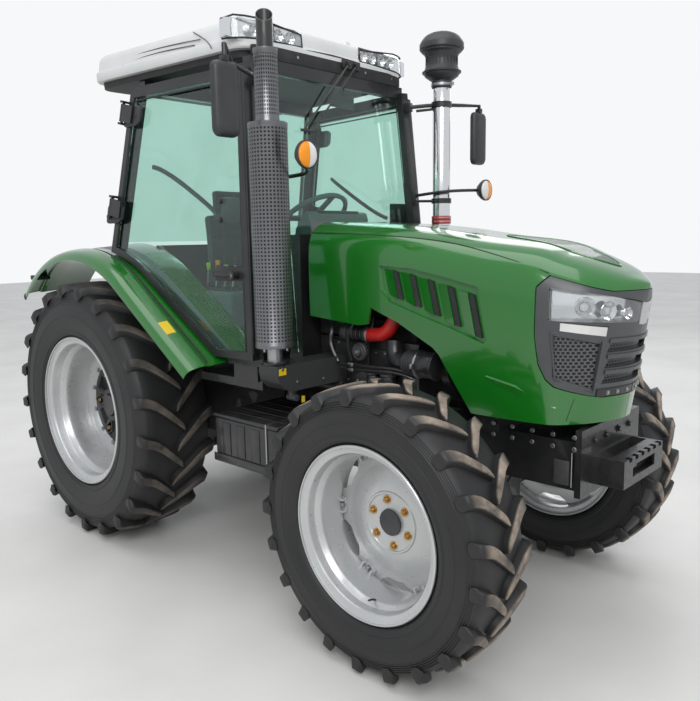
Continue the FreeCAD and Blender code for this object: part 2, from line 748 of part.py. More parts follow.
# Engine and driveline
def engine():
    """The engine at its real size, its rocker cover, sump, pump drive and exhaust manifold."""
    block = box((S.engine_rear, engine_front), (-S.engine_half, S.engine_half), (S.block_bottom, S.block_top))
    crankcase = box((S.engine_rear, engine_front), (-S.sump_half, S.sump_half), (S.sump_bottom + 120, S.block_bottom))
    sump = box((S.engine_rear + 60, engine_front - 80), (-S.sump_half, S.sump_half), (S.sump_bottom, S.sump_bottom + 120))
    head = box((S.engine_rear + 40, engine_front - 60), (-190, 190), (S.block_top, S.block_top + 90))
    cover = box((S.engine_rear + 70, engine_front - 90), (-S.head_half, S.head_half), (S.block_top + 90, S.head_top))
    pulley = rod("X", (0, S.drive_z), 95, engine_front, engine_front + 60)
    pump = rod("X", (0, S.fan_z), 60, engine_front, engine_front + 90)
    fan = rod("X", (0, S.fan_z), S.fan_r, engine_front + 90, engine_front + 130)
    return fuse(block, crankcase, sump, head, cover, pulley, pump, fan)


def transmission():
    """Clutch housing, gearbox and rear axle housing with its trumpets and shafts."""
    end = S.rear_disc_y - S.rim_wall - S.rear_centre_wall - S.seam
    hub_face = S.rear_disc_y - S.rim_wall + 46
    z = S.rear_radius
    pieces = [
        rod("X", (0, S.drive_z), S.bell_r, S.bell_rear, S.engine_rear),
        box((S.axle_house_front, S.bell_rear), (-S.gearbox_half, S.gearbox_half), (S.gearbox_bottom, S.gearbox_top)),
        box((-S.axle_house_rear, S.axle_house_front), (-S.axle_house_half, S.axle_house_half),
            (S.axle_house_bottom, S.axle_house_top)),
    ]
    half = [
        cone("Y", (0, z), (S.trumpet_big_r, S.trumpet_small_r), S.axle_house_half - 1, S.trumpet_end_y),
        rod("Y", (0, z), S.flange_r, S.trumpet_end_y - 1, end),
        rod("Y", (0, z), S.rear_shaft_r, end - 1, hub_face + 4),
        rod("Y", (0, z), S.rear_shaft_r + 16, hub_face + S.seam, hub_face + 12),
    ]
    left = fuse(*half)
    return fuse(*pieces, left, mirror(left))


def radiator():
    return box((S.radiator_rear, S.radiator_front), (-S.radiator_half, S.radiator_half), (S.rail_top, S.radiator_top))


def battery_box():
    """Box on the right step, its tray and its strap."""
    body = box((1070, 1535), (-715, -500), (655, 850))
    tray = box((1056, 1545), (-725, -440), (620, 655))
    carrier = box((S.engine_rear + 70, 1500), (-442, -S.sump_half), (630, 655))
    lid = box((1062, 1543), (-722, -492), (850, 868))
    return fuse(body, tray, lid, carrier)


def fuel_tank():
    """Tank on the left, with its filler and the carriers under it."""
    body = box((800, 1535), (280, 560), (560, 940))
    neck = rod("Z", (960, 590), 34, 860, 985)
    shelf = box((900, 1020), (555, 630), (830, 870))
    carrier = box((880, 940), (S.gearbox_half, 300), (600, 640))
    return fuse(body, neck, shelf, carrier)


def cab_steps():
    """Three treads in two side plates under the left door."""
    treads = [box((1090, 1480), (590, 720), (z, z + 22)) for z in (430, 640, 850)]
    plates = [box((x, x + 8), (590, 720), (430, 1000)) for x in (1082, 1480)]
    return fuse(*treads, *plates)


# Cab
def flat_wire(path):
    """A closed outline of lines and arcs in the side view."""
    corners = [Vector(worth(c[0]), worth(c[1]), 0) for c in path]
    edges = []
    for i, corner in enumerate(path):
        start, end = corners[i - 1], corners[i]
        if len(corner) == 3:
            edges.append(arc_between(start, end, worth(corner[2])).toShape())
        else:
            edges.append(Part.LineSegment(start, end).toShape())
    return Part.Wire(Part.__sortEdges__(edges))


def side_panel(path, low, high, outer=0, inner=None):
    """A plate in the side view between two values of Y, its outline moved out by outer, open inside inner."""
    wire = flat_wire(path)
    rim = wire.makeOffset2D(worth(outer), 2) if worth(outer) else wire
    hole = None if inner is None else wire.makeOffset2D(worth(inner), 2)
    face = Part.Face([rim, hole], "Part::FaceMakerBullseye") if hole else Part.Face(rim)
    solid = face.extrude(Vector(0, 0, -worth(high - low)))
    solid.rotate(Vector(), Vector(1, 0, 0), 90)
    solid.translate(Vector(0, worth(low), 0))
    return solid


SIDE_TURN = FreeCAD.Rotation(Vector(0, 0, 1), worth(S.side_yaw)).multiply(
    FreeCAD.Rotation(Vector(1, 0, 0), -worth(S.side_lean)))
SIDE = FreeCAD.Placement(point(S.side_x, -S.side_y, S.side_z), SIDE_TURN)


def on_side(shape):
    """A form drawn in the right side's own plane, put where that side stands."""
    solid = shape.copy()
    solid.transformShape(SIDE.toMatrix())
    return solid


def door_outline():
    """The door in the side's own plane, from its datum (distance forward, height): it follows the fender below."""
    yaw, lean = math.radians(worth(S.side_yaw)), math.radians(worth(S.side_lean))
    axle = worth(S.rear_radius) - worth(S.side_z)
    reach = (worth(S.side_y) - worth(S.fender_in)) / (worth(S.fender_out) - worth(S.fender_in))
    radius = worth(S.fender_r) - worth(S.fender_fall) * reach + worth(S.door_gap)
    bend = math.radians(worth(S.fender_front_deg))
    start_x = worth(S.side_x)
    low = worth(S.door_low)
    bend_x, bend_z = radius * math.cos(bend), axle + radius * math.sin(bend)
    foot_x = bend_x + (bend_z - low) * math.tan(bend)
    corners = [
        (start_x, axle + math.sqrt(radius**2 - start_x**2)),
        (bend_x, bend_z, -radius),
        (foot_x, low),
    ]
    flat = [((c[0] - start_x) / math.cos(yaw), c[1] / math.cos(lean), *c[2:]) for c in corners]
    top = worth(S.door_top)
    front = flat[2][0] + worth(S.door_toe)
    return [(front, flat[2][1] + 1), (front - worth(S.door_rake), top), (worth(S.door_rear_top), top)] + flat


DOOR = door_outline()
HINGE_LEAN = math.degrees(math.atan2(DOOR[2][0], DOOR[2][1] - DOOR[3][1]))
HINGE_OUT = 22
HINGE_BACK = 16
HINGE_HEIGHTS = (250, 750)


def edge_frame(along_edge):
    """The frame of a door hinge: its Z runs along the door's rear edge."""
    lean = math.radians(HINGE_LEAN)
    base = Vector(along_edge * math.sin(lean) - HINGE_BACK, -HINGE_OUT, DOOR[3][1] + along_edge * math.cos(lean))
    return FreeCAD.Placement(base, FreeCAD.Rotation(Vector(0, 1, 0), HINGE_LEAN))


def hinged(shape, along_edge):
    solid = shape.copy()
    solid.transformShape(edge_frame(along_edge).toMatrix())
    return solid


def block(x, y, z):
    return Part.makeBox(x[1] - x[0], y[1] - y[0], z[1] - z[0], Vector(x[0], y[0], z[0]))


def door_frame():
    """Door frame with its two hinge barrels and a handle, drawn on the right."""
    wall = worth(S.door_wall)
    frame = side_panel(DOOR, 0, S.door_wall, 0, -S.door_edge)
    handle = block((880, 1010), (-34, -16), (40, 68)).fuse(block((890, 910), (-20, 2), (40, 68)))
    plate = block((860, 1060), (0, wall), (20, 90))
    bar = block((200, 1075), (wall - 14, wall), (150, 176))
    frame = frame.multiFuse([handle, plate])
    for along_edge in HINGE_HEIGHTS:
        barrel = Part.makeCylinder(14, 90, Vector(0, 0, -45), Vector(0, 0, 1))
        leaf = block((0, 92), (-12, HINGE_OUT + 2), (-45, 45))
        hole = Part.makeCylinder(8 + worth(S.fit), 92, Vector(0, 0, -46), Vector(0, 0, 1))
        leaf = leaf.cut(block((-1, HINGE_BACK + 2), (6, 60), (-46, 46)))
        frame = frame.fuse(hinged(barrel.fuse(leaf), along_edge)).cut(hinged(hole, along_edge))
    return drawn(on_side(frame.removeSplitter()), "Door")


def door_glass():
    middle = worth(S.door_wall) / 2
    glass = side_panel(DOOR, middle - 3, middle + 3, -S.door_edge - S.seam)
    glass = glass.cut(block((859, 1061), (0, 60), (19, 91)))
    return drawn(on_side(glass), "Pane")


def fender_points(radius):
    """Where a fender's arc starts, ends and meets the front: rear, front and tip in the side view."""
    rear = (radius * cosine(S.fender_rear_deg), S.rear_radius + radius * sine(S.fender_rear_deg))
    front = (radius * cosine(S.fender_front_deg), S.rear_radius + radius * sine(S.fender_front_deg))
    fall = cosine(S.fender_front_deg) / sine(S.fender_front_deg)
    tip = (S.fender_front_x, front[1] - (S.fender_front_x - front[0]) * fall)
    return rear, front, tip


def fender_band(radius, wall):
    """A band of the fender's side view, its outer edge at radius."""
    rear, front, tip = fender_points(radius)
    rear_in, front_in, tip_in = fender_points(radius - wall)
    return [rear, (*front, -radius), tip, tip_in, front_in, (*rear_in, radius - wall)]


def fenders():
    """Both fenders: a crowned skin that falls outwards, and an outer lip."""
    body = doc.addObject("PartDesign::Body", "Skin")
    inner = sketch(body, "XZ_Plane", S.fender_out, fender_band(S.fender_r - S.fender_fall, S.fender_wall))
    outer = sketch(body, "XZ_Plane", S.fender_in, fender_band(S.fender_r, S.fender_wall))
    loft = body.newObject("PartDesign::AdditiveLoft", "Crown")
    loft.Profile = inner
    loft.Sections = [outer]
    loft.Ruled = True
    lip = pad("XZ_Plane", fender_band(S.fender_r - S.fender_fall - 1, S.fender_lip), -S.fender_out, 7 - S.fender_out)
    return pair(fuse(body, lip))


def side_ring():
    """The post and rail ring behind the right door, clear of the fender."""
    depth = worth(S.door_wall) + worth(S.swing_gap) - 3
    ring = side_panel(DOOR, depth, depth + 50, 32, -26)
    below = side_panel(fender_band(S.fender_r + 4, 400), -900, -300)
    side = on_side(ring).cut(below)
    return max(side.Solids, key=lambda solid: solid.Volume)


def off_posts(thing):
    """A bracket that stops at the faces of the cab's posts."""
    return cut(thing, pair(drawn(side_ring())))


def cab_frame():
    """Posts and rails round both doors, the headers across the cab and the door sills."""
    depth = worth(S.door_wall) + worth(S.swing_gap) - 3
    side = side_ring()
    pins = []
    for along_edge in HINGE_HEIGHTS:
        pin = Part.makeCylinder(8, 124, Vector(0, 0, -62), Vector(0, 0, 1))
        arms = [block((-14, 12), (-14, depth + HINGE_OUT + 10), (z, z + 12)) for z in (-62, 50)]
        pins.append(on_side(hinged(pin.multiFuse(arms), along_edge)))
    side = side.multiFuse(pins)
    right = drawn(side, "Side")
    sill = box((1150, 1330), (-650, -590), (S.floor_z + S.floor_wall, 1125))
    half = fuse(right, sill)
    front_header = box((1195, 1245), (-560, 560), (2500, S.roof_low))
    rear_header = box((395, 445), (-620, 620), (2500, S.roof_low))
    return fuse(half, mirror(half), front_header, rear_header)


def side_inner_y(x, z):
    """Distance from the middle plane to the inner face of the cab side at a point of the side view."""
    depth = worth(S.door_wall) + worth(S.swing_gap) - 3 + 50
    yaw, lean = math.radians(worth(S.side_yaw)), math.radians(worth(S.side_lean))
    slope_x = math.tan(yaw)
    slope_z = math.tan(lean) / math.cos(yaw)
    face = worth(S.side_y) - (worth(x) - worth(S.side_x)) * slope_x - (worth(z) - worth(S.side_z)) * slope_z
    return face - depth / (math.cos(yaw) * math.cos(lean))


def cross_pane(low, high, wall):
    """A pane across the cab between both sides, from its low to its high point in the side view."""
    corners = []
    for x, z in (low, high):
        for dx in (0, wall):
            reach = side_inner_y(x + dx, z) - worth(S.seam)
            corners.append([Vector(x + dx, -reach, z), Vector(x + dx, reach, z)])
    (a, b), (c, d), (e, f), (g, i) = corners
    quads = [[a, b, f, e], [c, g, i, d], [a, c, d, b], [e, f, i, g], [a, e, g, c], [b, d, i, f]]
    return drawn(faceted(quads), "Pane")


def cab_glass():
    """Windscreen and rear window."""
    front = cross_pane((1318, 1150), (1222, 2496), worth(S.glass))
    rear = cross_pane((236, 1712), (418, 2496), worth(S.glass))
    gap = S.cowl_half + S.seam
    cowl = box((S.cowl_x - 300, S.cowl_x + 100), (-gap, gap), (S.floor_z, S.cowl_top + S.seam))
    return group(cut(front, cowl), rear)


def cab_body():
    """Floor, fire wall, rear wall and the inner walls beside the wheels."""
    top = S.floor_z + S.floor_wall
    wall = 16
    rear, front, tip = fender_points(S.fender_r - S.fender_wall)
    slope = cosine(S.fender_front_deg) / sine(S.fender_front_deg)
    wall_front = (S.step_rear + 20, front[1] - (S.step_rear + 20 - front[0]) * slope)
    rear_z = 1690
    inner = pad("XZ_Plane", [
        (S.floor_rear, top - 1),
        (S.step_rear + 20, top - 1),
        wall_front,
        front,
        (225, rear_z),
        (200, rear_z),
    ], -S.fender_in, wall - S.fender_in)
    pieces = [
        box((S.floor_rear, S.cowl_x), (-S.well_half, S.well_half), (S.floor_z, top)),
        box((S.step_rear, S.cowl_x), (-S.step_half, S.step_half), (S.floor_z, top)),
        box((S.cowl_x - S.cowl_wall, S.cowl_x), (-S.step_half, S.step_half), (S.floor_z, S.floor_z + 110)),
        cut(
            box((S.cowl_x - 96, S.cowl_x), (-S.cowl_half, S.cowl_half), (S.floor_z, S.cowl_top)),
            box((S.cowl_x - 97, S.cowl_x - S.cowl_wall), (S.cowl_wall - S.cowl_half, S.cowl_half - S.cowl_wall),
                (S.floor_z - 1, S.cowl_top - S.cowl_wall)),
        ),
        pad("XZ_Plane", [
            (S.floor_rear, top - 1), (S.floor_rear + 18, top - 1), (225, rear_z), (207, rear_z),
        ], -S.fender_in + 2, S.fender_in - 2),
        inner,
        mirror(inner),
    ]
    mounts = [rod("Z", (x, y), 42, z, S.floor_z) for x, z in ((80, S.axle_house_top), (860, S.gearbox_top)) for y in (-140, 140)]
    return fuse(*pieces, *mounts)


def roof_path(inset):
    """The roof's outline seen from above, moved in by inset."""
    rear, front = S.roof_rear + inset, S.roof_front - inset
    wide, slim = S.roof_half_rear - inset, S.roof_half_front - inset
    round_rear, round_front = 90, 110
    return [
        (rear, round_rear - wide),
        (rear + round_rear, -wide, round_rear),
        (front - round_front, -slim),
        (front, round_front - slim, round_front),
        (front, slim - round_front),
        (front - round_front, slim, round_front),
        (rear + round_rear, wide),
        (rear, wide - round_rear, round_rear),
    ]


def lamp_block(gap):
    """A lamp in the roof's right front corner, with a gap round it."""
    return box((S.roof_front - 30 - gap, S.roof_front + 8), (-560 - gap, -400 + gap), (S.roof_low + 22 - gap, S.roof_lip - 8 + gap))


def cab_roof():
    """Side band with a top that steps in, and a pocket for each lamp."""
    band = pad("XY_Plane", roof_path(0), S.roof_low, S.roof_lip)
    crown = pad("XY_Plane", roof_path(S.roof_draft), S.roof_lip - 1, S.roof_top)
    return cut(fuse(band, crown), pair(lamp_block(S.seam)))


def roof_lamps():
    """A lamp in each front corner of the roof."""
    return lamp_block(0)


def seat():
    """Seat on its base: cushion and back."""
    base = box((430, 780), (-160, 160), (S.floor_z + S.floor_wall, 1440))
    cushion = box((370, 860), (-240, 240), (1440, 1550))
    back = pad("XZ_Plane", [(370, 1550), (470, 1550), (420, 2010), (345, 2010)], -220, 220)
    return fuse(base, cushion, back)


def dash_hump():
    front = S.cowl_x - S.cowl_wall
    return pad("XZ_Plane", [
        (1150, 1640), (front, 1640), (front, S.cowl_top - S.cowl_wall), (S.cowl_x - 96, S.cowl_top - S.cowl_wall),
        (1254, 1855), (1225, 1860), (1150, 1760),
    ], -230, 230)


def dashboard():
    """Column and instrument hump in front of the driver."""
    column = box((1190, S.cowl_x - S.cowl_wall), (-110, 110), (S.floor_z + S.floor_wall, 1641))
    return fuse(column, dash_hump())


def steering_wheel():
    """Wheel on its leaning column, which ends at the dashboard."""
    ring = turned([(186, 0), (193, -12), (207, -12), (214, 0), (207, 12), (193, 12)])
    ring.Placement = FreeCAD.Placement(Vector(), TURNS["Z"].multiply(FreeCAD.Rotation(Vector(1, 0, 0), 90)))
    hub = rod("Z", (0, 0), 42, -30, 14)
    spokes = [box((-200, 200), (-16, 16), (-8, 6)), box((-16, 16), (-200, 0), (-8, 6))]
    stem = rod("Z", (0, 0), 20, -170, -20)
    wheel = fuse(ring, hub, stem, *spokes)
    wheel.Placement = FreeCAD.Placement(Vector(1060, 0, 1825), FreeCAD.Rotation(Vector(0, 1, 0), -35))
    return cut(wheel, dash_hump())


# Hood
# Hood sections: x, half width at the bottom, at the waist and at the shoulder, heights of waist, shoulder and top
HOOD_SECTIONS = [
    (1400, 358, 362, 300, 1500, 1730, 1800),
    (2160, 345, 366, 300, 1450, 1650, 1735),
    (2660, 322, 340, 270, 1400, 1560, 1650),
    (2840, 250, 262, 200, 1380, 1500, 1575),
    (2916, 90, 95, 80, 1360, 1480, 1520),
]
# Outline of the dark nose in the side view
NOSE = [(2657, 1562), (2617, 1355), (2655, 1166), (2790, 1095), (2960, 1095), (2960, 1497), (2855, 1497)]
# Lower edge of the hood in the side view
HOOD_EDGE = [(1390, 1352), (1790, 1309), (2161, 1267), (2240, 1180, -150), (2330, 1015), (2360, 985)]


def hood_form(inset, low):
    sections = []
    for x, foot, waist, shoulder, waist_z, shoulder_z, top_z in HOOD_SECTIONS:
        x = x - inset if x > 2800 else x
        foot, waist, shoulder = foot - inset, waist - inset, shoulder - inset * 0.8
        shoulder_z, top_z = shoulder_z - inset * 0.8, top_z - inset
        half = [(foot, low), (waist, waist_z), (shoulder, shoulder_z), (shoulder * 0.5, top_z - (top_z - shoulder_z) * 0.22)]
        points = [(-y, z) for y, z in half] + [(0, top_z)] + [(y, z) for y, z in reversed(half)]
        sections.append([Vector(x, y, z) for y, z in points])
    if inset:
        first = sections[0]
        sections.insert(0, [p - Vector(30, 0, 0) for p in first])
    return ruled(sections)


def hood_shell():
    """The hood's panels, open below, behind and where the dark nose sits."""
    bottom = worth(S.hood_bottom)
    shell = hood_form(0, bottom).cut(hood_form(worth(S.hood_wall), bottom - 40))
    trim = [(1350, 900)] + HOOD_EDGE + [(2360, 900)]
    shell = shell.cut(side_panel(trim, -500, 500))
    shell = shell.cut(side_panel(NOSE, -500, 500))
    x, z = worth(S.hinge_x), worth(S.hinge_z)
    lugs = []
    for y in (-226, 214):
        eye = Part.makeCylinder(worth(S.hinge_r + S.fit), 20, Vector(x, y - 4, z), Vector(0, 1, 0))
        lugs.append(block((x - 20, x + 20), (y, y + 12), (z - 20, 1760)).cut(eye))
    return drawn(shell.multiFuse(lugs).removeSplitter(), "Hood")


def lamp_prism(gap):
    """The upper corner of the nose that the right head lamp fills, with a gap round it."""
    return block((2650, 2950), (-330 - gap, -118 + gap), (1392 - gap, 1478 + gap))


def slot_prisms(gap):
    """Three slots across the front of the nose."""
    return [block((2700, 2960), (-150 - gap, 150 + gap), (z - gap, z + 44 + gap)) for z in (1135, 1205, 1275)]


def nose_bezel():
    """The dark nose with a recess for each head lamp and three slots across."""
    outline = side_panel(NOSE, -500, 500, -S.seam)
    piece = hood_form(1, 1090).common(outline).cut(hood_form(26, 1000))
    seam = worth(S.seam)
    lamp = lamp_prism(seam)
    holes = [lamp, lamp.mirror(Vector(), Vector(0, 1, 0))] + slot_prisms(0)
    return drawn(piece.cut(holes).removeSplitter(), "Bezel")


def head_lamps():
    """A lamp behind its lens in each upper corner of the nose."""
    outline = side_panel(NOSE, -500, 500, -S.seam - 6)
    lamp = hood_form(4, 1090).common(outline).cut(hood_form(25, 1000)).common(lamp_prism(0))
    return pair(drawn(lamp, "Lamp"))


def nose_grille():
    """The mesh behind the three slots of the nose."""
    plate = hood_form(26.3, 1095).cut(hood_form(32, 1000)).common(block((2700, 2960), (-160, 160), (1125, 1330)))
    return drawn(plate, "Mesh")


def hood_hinge():
    """Pin across the cab's fire wall on which the hood tilts."""
    pin = rod("Y", (S.hinge_x, S.hinge_z), S.hinge_r, -240, 240)
    low, high = S.hinge_z - 34, S.hinge_z - 6
    pieces = [pin]
    for y in (-244, 232):
        pieces.append(box((S.cowl_x, S.hinge_x), (y, y + 12), (low, high)))
        pieces.append(rod("Y", (S.hinge_x, S.hinge_z), S.hinge_r + 6, y, y + 12))
    return fuse(*pieces)


# Exhaust and intake
def exhaust_stack():
    """Perforated guards round the pipe, with a plain tail above."""
    x, y = S.stack_x, -S.stack_y
    lower = cut(rod("Z", (x, y), S.stack_r, S.stack_low, S.stack_mid), rod("Z", (x, y), S.stack_r - S.guard_wall, S.stack_low + 6, S.stack_mid - 6))
    core = rod("Z", (x, y), S.tail_r, S.shield_top, S.tail_top)
    upper = rod("Z", (x, y), S.upper_r, S.stack_mid - 1, S.upper_top)
    return fuse(lower, core, upper)


def exhaust_shield():
    """Closed shield round the elbow that leads from the engine to the stack."""
    outer = -S.stack_y - 54
    round_r = 100
    return pad("YZ_Plane", [
        (outer, S.shield_top),
        (outer, S.shield_low + round_r),
        (outer + round_r, S.shield_low, round_r),
        (-S.engine_half, S.shield_low),
        (-S.engine_half, S.shield_top),
    ], S.stack_x - 55, S.stack_x + 75)


def intake_stack():
    x, y = S.intake_x, S.intake_y
    tube = rod("Z", (x, y), S.intake_r, 1190, intake_top)
    neck = rod("Z", (x, y), S.intake_r + 5, intake_top - 10, intake_top + 50)
    bowl = rod("Z", (x, y), S.cleaner_r - 22, intake_top + 50, S.cleaner_top - 70)
    cap = cone("Z", (x, y), (S.cleaner_r, S.cleaner_r - 45), S.cleaner_top - 60, S.cleaner_top)
    rim = rod("Z", (x, y), S.cleaner_r, S.cleaner_top - 78, S.cleaner_top - 60)
    elbow = box((x - 40, x + 40), (S.engine_half, y), (1150, 1230))
    return fuse(tube, neck, bowl, cap, rim, elbow)


def air_cleaner():
    """Canister in front of the hood's notch, its foot and the hose from the engine."""
    y = -S.engine_half - 48
    canister = rod("X", (y, 1165), 46, 1780, 2120)
    foot = box((1900, 1960), (y, -S.engine_half), (1130, 1200))
    hose = pipe([(1560, -S.engine_half, 1225), (1560, y, 1225), (1700, y, 1225), (1790, y, 1180)], 26)
    return fuse(canister, foot, hose)


# Mirrors and lamps on the cab
def clamp_band(z):
    """A band round the intake pipe."""
    x, y = S.intake_x, S.intake_y
    return cut(rod("Z", (x, y), S.intake_r + 7, z - 14, z + 14), rod("Z", (x, y), S.intake_r + S.seam, z - 20, z + 20))


def off_pipe(thing):
    """An arm that stops at the band's bore."""
    return cut(thing, rod("Z", (S.intake_x, S.intake_y), S.intake_r + S.seam, 1800, 2600))


def mirror_head(side):
    return box((1510, 1550), (side * 925 - 65, side * 925 + 65), (2130, 2430))


def mirror_set():
    """A mirror on each side: the left one's arm is held by the intake pipe, the right one's by the front post."""
    left = pipe([(1300, 560, 2445), (1450, 664, 2452), (1530, 925, 2468), (1530, 925, 2420)], 11)
    right = pipe([(1300, -560, 2445), (1375, -770, 2470), (1530, -925, 2500), (1530, -925, 2420)], 11)
    feet = [box((1270, 1312), (y - 18, y + 18), (2420, 2470)) for y in (-560, 560)]
    left = fuse(off_pipe(left), mirror_head(1), clamp_band(2452), feet[1])
    return off_posts(group(left, fuse(right, mirror_head(-1), feet[0])))


def marker_lamps():
    """A round lamp on each side, on its arm from the front post."""
    left = pipe([(1320, 580, 1950), (1520, 590, 1965), (1600, 800, 1975)], 9)
    stay = pipe([(1320, 580, 1920), (1450, 664, 1917)], 8)
    right = pipe([(1320, -580, 1990), (1345, -540, 1990), (1600, -540, 2000), (1680, -640, 2030)], 9)
    feet = [box((1300, 1332), (y - 18, y + 18), (z - 44, z + 30)) for y, z in ((580, 1950), (-580, 1990))]
    lamps = [rod("X", (y, z), 60, x - 40, x + 30) for x, y, z in ((1625, 845, 1975), (1700, -650, 2065))]
    left = fuse(left, off_pipe(stay), clamp_band(1917), feet[0], lamps[0])
    return off_posts(group(left, fuse(right, feet[1], lamps[1])))


def wiper():
    """Two parallel arms from a plate on the roof's front edge, and the blade between their ends."""
    plate = box((S.roof_front, S.roof_front + 14), (60, 190), (S.roof_low + 36, S.roof_low + 78))
    x = S.roof_front + 22
    pivots = [rod("X", (y, S.roof_low + 57), 13, S.roof_front + 13, S.roof_front + 30) for y in (95, 155)]
    arms = [pipe([(x, y, S.roof_low + 57), (x, y - 340, 2250)], 5) for y in (95, 155)]
    link = pipe([(x, -262, 2250), (x, -168, 2250)], 7)
    return fuse(plate, *pivots, *arms, link)


# Hitch
def lift_arms():
    """Lift shaft with an arm on each side and the pins for the lift rods."""
    x, z = -S.hitch_x, S.rock_z
    end = -S.hitch_x - S.lift_reach
    shaft = rod("Y", (x, z), 32, -S.lift_y - 15, S.lift_y + 15)
    pieces = [shaft]
    for side in (-1, 1):
        y = side * S.lift_y
        pieces.append(box((end, x), (y - 11, y + 11), (z - 26, z + 26)))
        pieces.append(rod("Y", (end, z), 30, y - 11, y + 11))
        low, high = (y + 10, y + 44) if side > 0 else (y - 44, y - 10)
        pieces.append(rod("Y", (end, z), S.lift_pin_r, low, high))
    return fuse(*pieces)


def lift_rods():
    """The two rods between the lift arms and the lower links."""
    end = -S.hitch_x - S.lift_reach
    y = S.lift_y + 28
    bar = rod("Z", (end, y), S.rod_r, S.lower_z + 10, S.rock_z - 10)
    eyes = [rod("Y", (end, z), 27, y - 12, y + 12) for z in (S.lower_z, S.rock_z)]
    holes = [rod("Y", (end, z), S.lift_pin_r + S.fit, y - 20, y + 20) for z in (S.lower_z, S.rock_z)]
    return pair(cut(fuse(bar, *eyes), *holes))


def link_y(reach):
    """How far out a lower link lies at a distance behind its pivot."""
    return S.lower_in_y + (S.ball_y - S.lower_in_y) * (reach / S.link_reach)


def lower_links():
    """Two bars that spread towards their ball eyes, each with the pin for its lift rod."""
    x, z = -S.hitch_x, S.lower_z
    end = x - S.link_reach
    pin = x - S.lift_reach
    bar = pad("XY_Plane", [
        (x, S.lower_in_y - S.link_half),
        (x, S.lower_in_y + S.link_half),
        (end + 60, S.ball_y + S.link_half),
        (end, S.ball_y + S.link_half),
        (end, S.ball_y - S.link_half),
        (end + 60, S.ball_y - S.link_half),
    ], z - S.link_high, z + S.link_high)
    pieces = [
        bar,
        rod("Y", (x, z), 46, S.lower_in_y - 16, S.lower_in_y + 16),
        rod("Y", (end, z), S.ball_r, S.ball_y - 22, S.ball_y + 22),
        rod("Y", (pin, z), S.lift_pin_r, link_y(S.lift_reach) - 5, S.lift_y + 44),
    ]
    holes = [
        rod("Y", (x, z), 20 + S.fit, S.lower_in_y - 30, S.lower_in_y + 30),
        rod("Y", (end, z), S.ball_bore_r, S.ball_y - 30, S.ball_y + 30),
    ]
    return pair(cut(fuse(*pieces), *holes))


def top_link():
    x, z = -S.top_x, S.top_z
    end = x - S.top_length
    pieces = [
        rod("X", (0, z), 19, end + 20, x - 20),
        rod("Y", (x, z), 28, -20, 20),
        rod("Y", (end, z), 34, -22, 22),
    ]
    holes = [rod("Y", (x, z), 12 + S.fit, -30, 30), rod("Y", (end, z), S.top_bore_r, -30, 30)]
    return cut(fuse(*pieces), *holes)


def hitch_frame():
    """What carries the hitch: lift shaft bearings, link pins, top link bracket and the drawbar frame."""
    back = -S.axle_house_rear
    pieces = []
    for side in (-1, 1):
        inner, outer = (200, 240) if side > 0 else (-240, -200)
        pieces.append(box((-S.hitch_x - 55, -S.hitch_x + 55), (inner, outer), (S.axle_house_top, S.rock_z + 55)))
        low, high = (S.axle_house_half, S.lower_in_y + 26) if side > 0 else (-S.lower_in_y - 26, -S.axle_house_half)
        pieces.append(rod("Y", (-S.hitch_x, S.lower_z), 20, low, high))
        ear_low, ear_high = (24, 40) if side > 0 else (-40, -24)
        pieces.append(box((-S.top_x - 30, back), (ear_low, ear_high), (S.top_z - 40, S.top_z + 40)))
    pieces.append(rod("Y", (-S.top_x, S.top_z), 12, -42, 42))
    bores = [rod("Y", (-S.hitch_x, S.rock_z), 32 + S.fit, -300, 300)]
    return cut(fuse(*pieces), *bores)


def drawbar():
    bar = box((-S.drawbar_end - 40, 150), (-40, 40), (S.drawbar_z - 18, S.drawbar_z + 18))
    hangers = [box((x, x + 30), (-90, 90), (S.drawbar_z - 30, S.axle_house_bottom)) for x in (-S.axle_house_rear, 100)]
    slot = [box((x - 1, x + 31), (-41, 41), (S.drawbar_z - 19, S.drawbar_z + 19)) for x in (-S.axle_house_rear, 100)]
    hole = rod("Z", (-S.drawbar_end, 0), S.drawbar_pin_r, S.drawbar_z - 30, S.drawbar_z + 30)
    return cut(fuse(bar, *hangers), hole)


def pto_shaft():
    return rod("X", (0, S.pto_z), S.pto_r, -S.pto_end, -S.axle_house_rear - S.seam)


